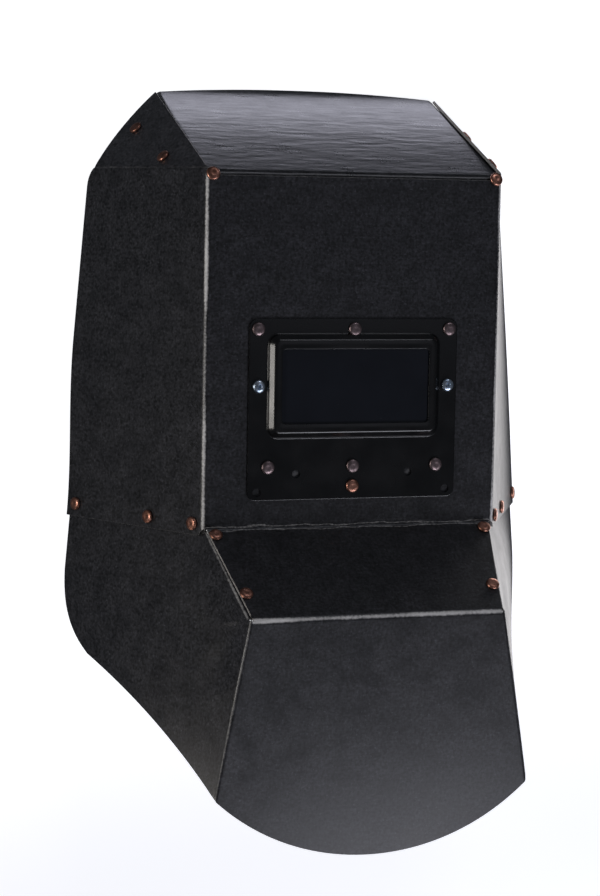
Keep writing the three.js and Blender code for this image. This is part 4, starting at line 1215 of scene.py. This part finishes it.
def uneven(place, size, seed):
    """Smooth noise from -1 to 1 over patches of this many mm."""
    return noise.noise(Vector(place) / size + Vector((seed, 0, 0)))


class MASK_OT_shell(bpy.types.Operator):
    """Fold the main sheets: face panel, sides, hip flaps, chin slope and bib"""

    bl_idname = "mask.shell"
    bl_label = "Main shell"

    def execute(self, context):
        settings = context.scene.mask_board
        outside = fibreboard("black_fibreboard", settings.colour, settings.worn_colour, settings.roughness,
                             settings.grain * 1000, wear=settings.wear)
        inside = fibreboard("fibreboard_inside", settings.colour, settings.worn_colour, 0.62,
                            settings.grain * 1000, wear=0.15)
        cut = cut_board(settings.cut_colour)
        halves = [("side", upper_side_rows()), ("hip", hip_rows()), ("lower", lower_side_rows()),
                  ("tab", chin_tab_rows())]
        panels = [("face", face_rows()), ("chin", chin_rows()), ("bib", bib_rows()), *halves,
                  *[(name, mirrored(rows)) for name, rows in halves]]
        depth = settings.warp * 1000

        def warp(p):
            # a little inwards only, and none on the flat that carries the window plate
            low, high = FLAT_LEVELS
            beside = FLAT_MARGIN
            if abs(p.z) < 2:
                beside = max(abs(p.x) - PLATE["half"][0], p.y - high, low - p.y)
            free = min(max(beside / FLAT_MARGIN, 0), 1)
            buckle = 0
            if abs(p.x) < CHIN_HALF[0] and abs(p.y) < BUCKLE["reach"] and p.z < 6:
                buckle = (BUCKLE["height"] * uneven((p.x, p.y * 3, p.z * 3), BUCKLE["patch"], 7)
                          * (1 - abs(p.y) / BUCKLE["reach"]))
            bow = 0
            if p.z > BIB["reach"] - 2 and p.y < -CHIN["drop"]:
                down = min((-CHIN["drop"] - p.y) / BIB_LENGTH, 1)
                across = p.x / lerp(CHIN["half"], BIB["half"], min(down / BIB_CORNER_SHARE, 1))
                bow = BIB_BOW * max(1 - across ** 2, 0) * math.sin(math.pi * down)
            return -depth * free * (0.5 + 0.5 * uneven(p, 55, 3)) + buckle + bow

        def in_cut_out(name, middle):
            return (name == "face" and abs(middle[0]) < CUT_OUT[0]
                    and abs(middle[1] - BEZEL["centre"]) < CUT_OUT[1])

        scuffs = [(side * x, y) for x, y in HOLES for side in (-1, 1)]
        mesh = folded_sheet("shell", panels, SHELL_FOLDS, [outside, inside, cut], settings.edge * 1000,
                            warp, in_cut_out, scuffs)
        add_piece("shell", mesh, ["main_shell"])
        return {"FINISHED"}


class MASK_OT_crown(bpy.types.Operator):
    """Fold the crown panel with its front flange and side tabs"""

    bl_idname = "mask.crown"
    bl_label = "Crown panel"

    def execute(self, context):
        settings = context.scene.mask_board
        outside = fibreboard("glossed_fibreboard", settings.crown_colour, settings.worn_colour,
                             settings.crown_roughness, settings.grain * 1000, settings.ripple, settings.wear)
        inside = bpy.data.materials["fibreboard_inside"]
        cut = bpy.data.materials["fibreboard_cut_edge"]
        tabs = crown_tab_rows()
        panels = [("crown", crown_rows()), ("flange", flange_rows()), ("crown_tab", tabs),
                  ("crown_tab", mirrored(tabs))]
        depth = settings.warp * 1000

        def warp(p):
            return -depth * (0.5 + 0.5 * uneven((p.x * 0.5, p.y, p.z), 22, 11))

        mesh = folded_sheet("crown", panels, CROWN_FOLDS, [outside, inside, cut], settings.edge * 1000, warp)
        add_piece("crown", mesh, ["crown_panel"])
        return {"FINISHED"}


class MASK_OT_window(bpy.types.Operator):
    """Press the window plate, set the filter glass in it and enamel the holder behind"""

    bl_idname = "mask.window"
    bl_label = "Window"

    def execute(self, context):
        settings = context.scene.mask_window
        enamel = enamelled_steel("black_stoving_enamel", settings.enamel, settings.roughness)
        add_piece("plate", window_plate_mesh(enamel), ["window_plate"])
        add_piece("glass", glass_mesh(filter_glass(settings.glass)), ["filter_glass"])
        coat(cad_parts["glass_holder"], enamel)
        return {"FINISHED"}


class MASK_OT_rivets(bpy.types.Operator):
    """Set the copper rivets in the sheets and in the window plate"""

    bl_idname = "mask.rivets"
    bl_label = "Rivets"

    def execute(self, context):
        settings = context.scene.mask_fasteners
        size = (settings.rivet_radius * 1000, settings.rivet_height * 1000)
        tree = fastener_tree()
        noise.seed_set(5)
        bright = plated_metal("copper_rivet", settings.copper, settings.tarnish, 0.36)
        places = shell_rivet_places()
        model = lathe_mesh("shell_rivet", rivet_profile(*size, SHEET + LAP))
        mesh = set_fasteners("shell_rivets", tree, places, model, bright)
        add_piece("shell_rivets", mesh, [name for name, _, _ in places])
        dull = plated_metal("dulled_copper_rivet", settings.plate_copper, settings.plate_tarnish, 0.4)
        places = plate_rivet_places()
        for name, chosen, finish in (("plate_rivets", places[:-1], dull),
                                     ("lowest_rivet", places[-1:], bright)):
            model = lathe_mesh(name, rivet_profile(*size, PLATE["thickness"] + GAP + SHEET))
            mesh = set_fasteners(name, tree, chosen, model, finish)
            add_piece(name, mesh, [node for node, _, _ in chosen])
        return {"FINISHED"}


class MASK_OT_screws(bpy.types.Operator):
    """Drive the two screws that hold the glass, and plate their nuts"""

    bl_idname = "mask.screws"
    bl_label = "Screws"

    def execute(self, context):
        settings = context.scene.mask_fasteners
        zinc = plated_metal("zinc_plating", settings.zinc, settings.zinc_bloom, 0.26)
        z = GAP + PLATE["thickness"]
        places = both_sides("glass_screw", point(*SCREW_PLACE, z), point(0, 0, 1))
        model = screw_mesh(settings.screw_radius * 1000, settings.screw_height * 1000)
        mesh = set_fasteners("screws", bpy.data.node_groups["Fasteners on marks"], places, model, zinc)
        add_piece("screws", mesh, [name for name, _, _ in places])
        for side in ("left", "right"):
            coat(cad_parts["glass_nut_" + side], zinc)
        return {"FINISHED"}


class MASK_PT_panel(bpy.types.Panel):
    bl_label = "Welding Mask"
    bl_idname = "MASK_PT_panel"
    bl_space_type = "VIEW_3D"
    bl_region_type = "UI"
    bl_category = "Mask"

    def draw(self, context):
        for group, operators in PANEL_ROWS:
            box = self.layout.box()
            settings = getattr(context.scene, group)
            for key in settings.__annotations__:
                box.prop(settings, key)
            for operator in operators:
                box.operator(operator)


PANEL_ROWS = [
    ("mask_stage", ["mask.stage"]),
    ("mask_board", ["mask.shell", "mask.crown"]),
    ("mask_window", ["mask.window"]),
    ("mask_fasteners", ["mask.rivets", "mask.screws"]),
]
GROUPS = {"mask_stage": StageSettings, "mask_board": BoardSettings, "mask_window": WindowSettings,
          "mask_fasteners": FastenerSettings}
CLASSES = [*GROUPS.values(), MASK_OT_stage, MASK_OT_shell, MASK_OT_crown, MASK_OT_window, MASK_OT_rivets,
           MASK_OT_screws, MASK_PT_panel]


def register():
    for made in CLASSES:
        bpy.utils.register_class(made)
    for name, group in GROUPS.items():
        setattr(bpy.types.Scene, name, bpy.props.PointerProperty(type=group))


def unregister():
    for name in GROUPS:
        delattr(bpy.types.Scene, name)
    for made in reversed(CLASSES):
        bpy.utils.unregister_class(made)


def main():
    register()
    for step in ("stage", "shell", "crown", "window", "rivets", "screws"):
        getattr(bpy.ops.mask, step)()


if __name__ == "__main__":
    main()
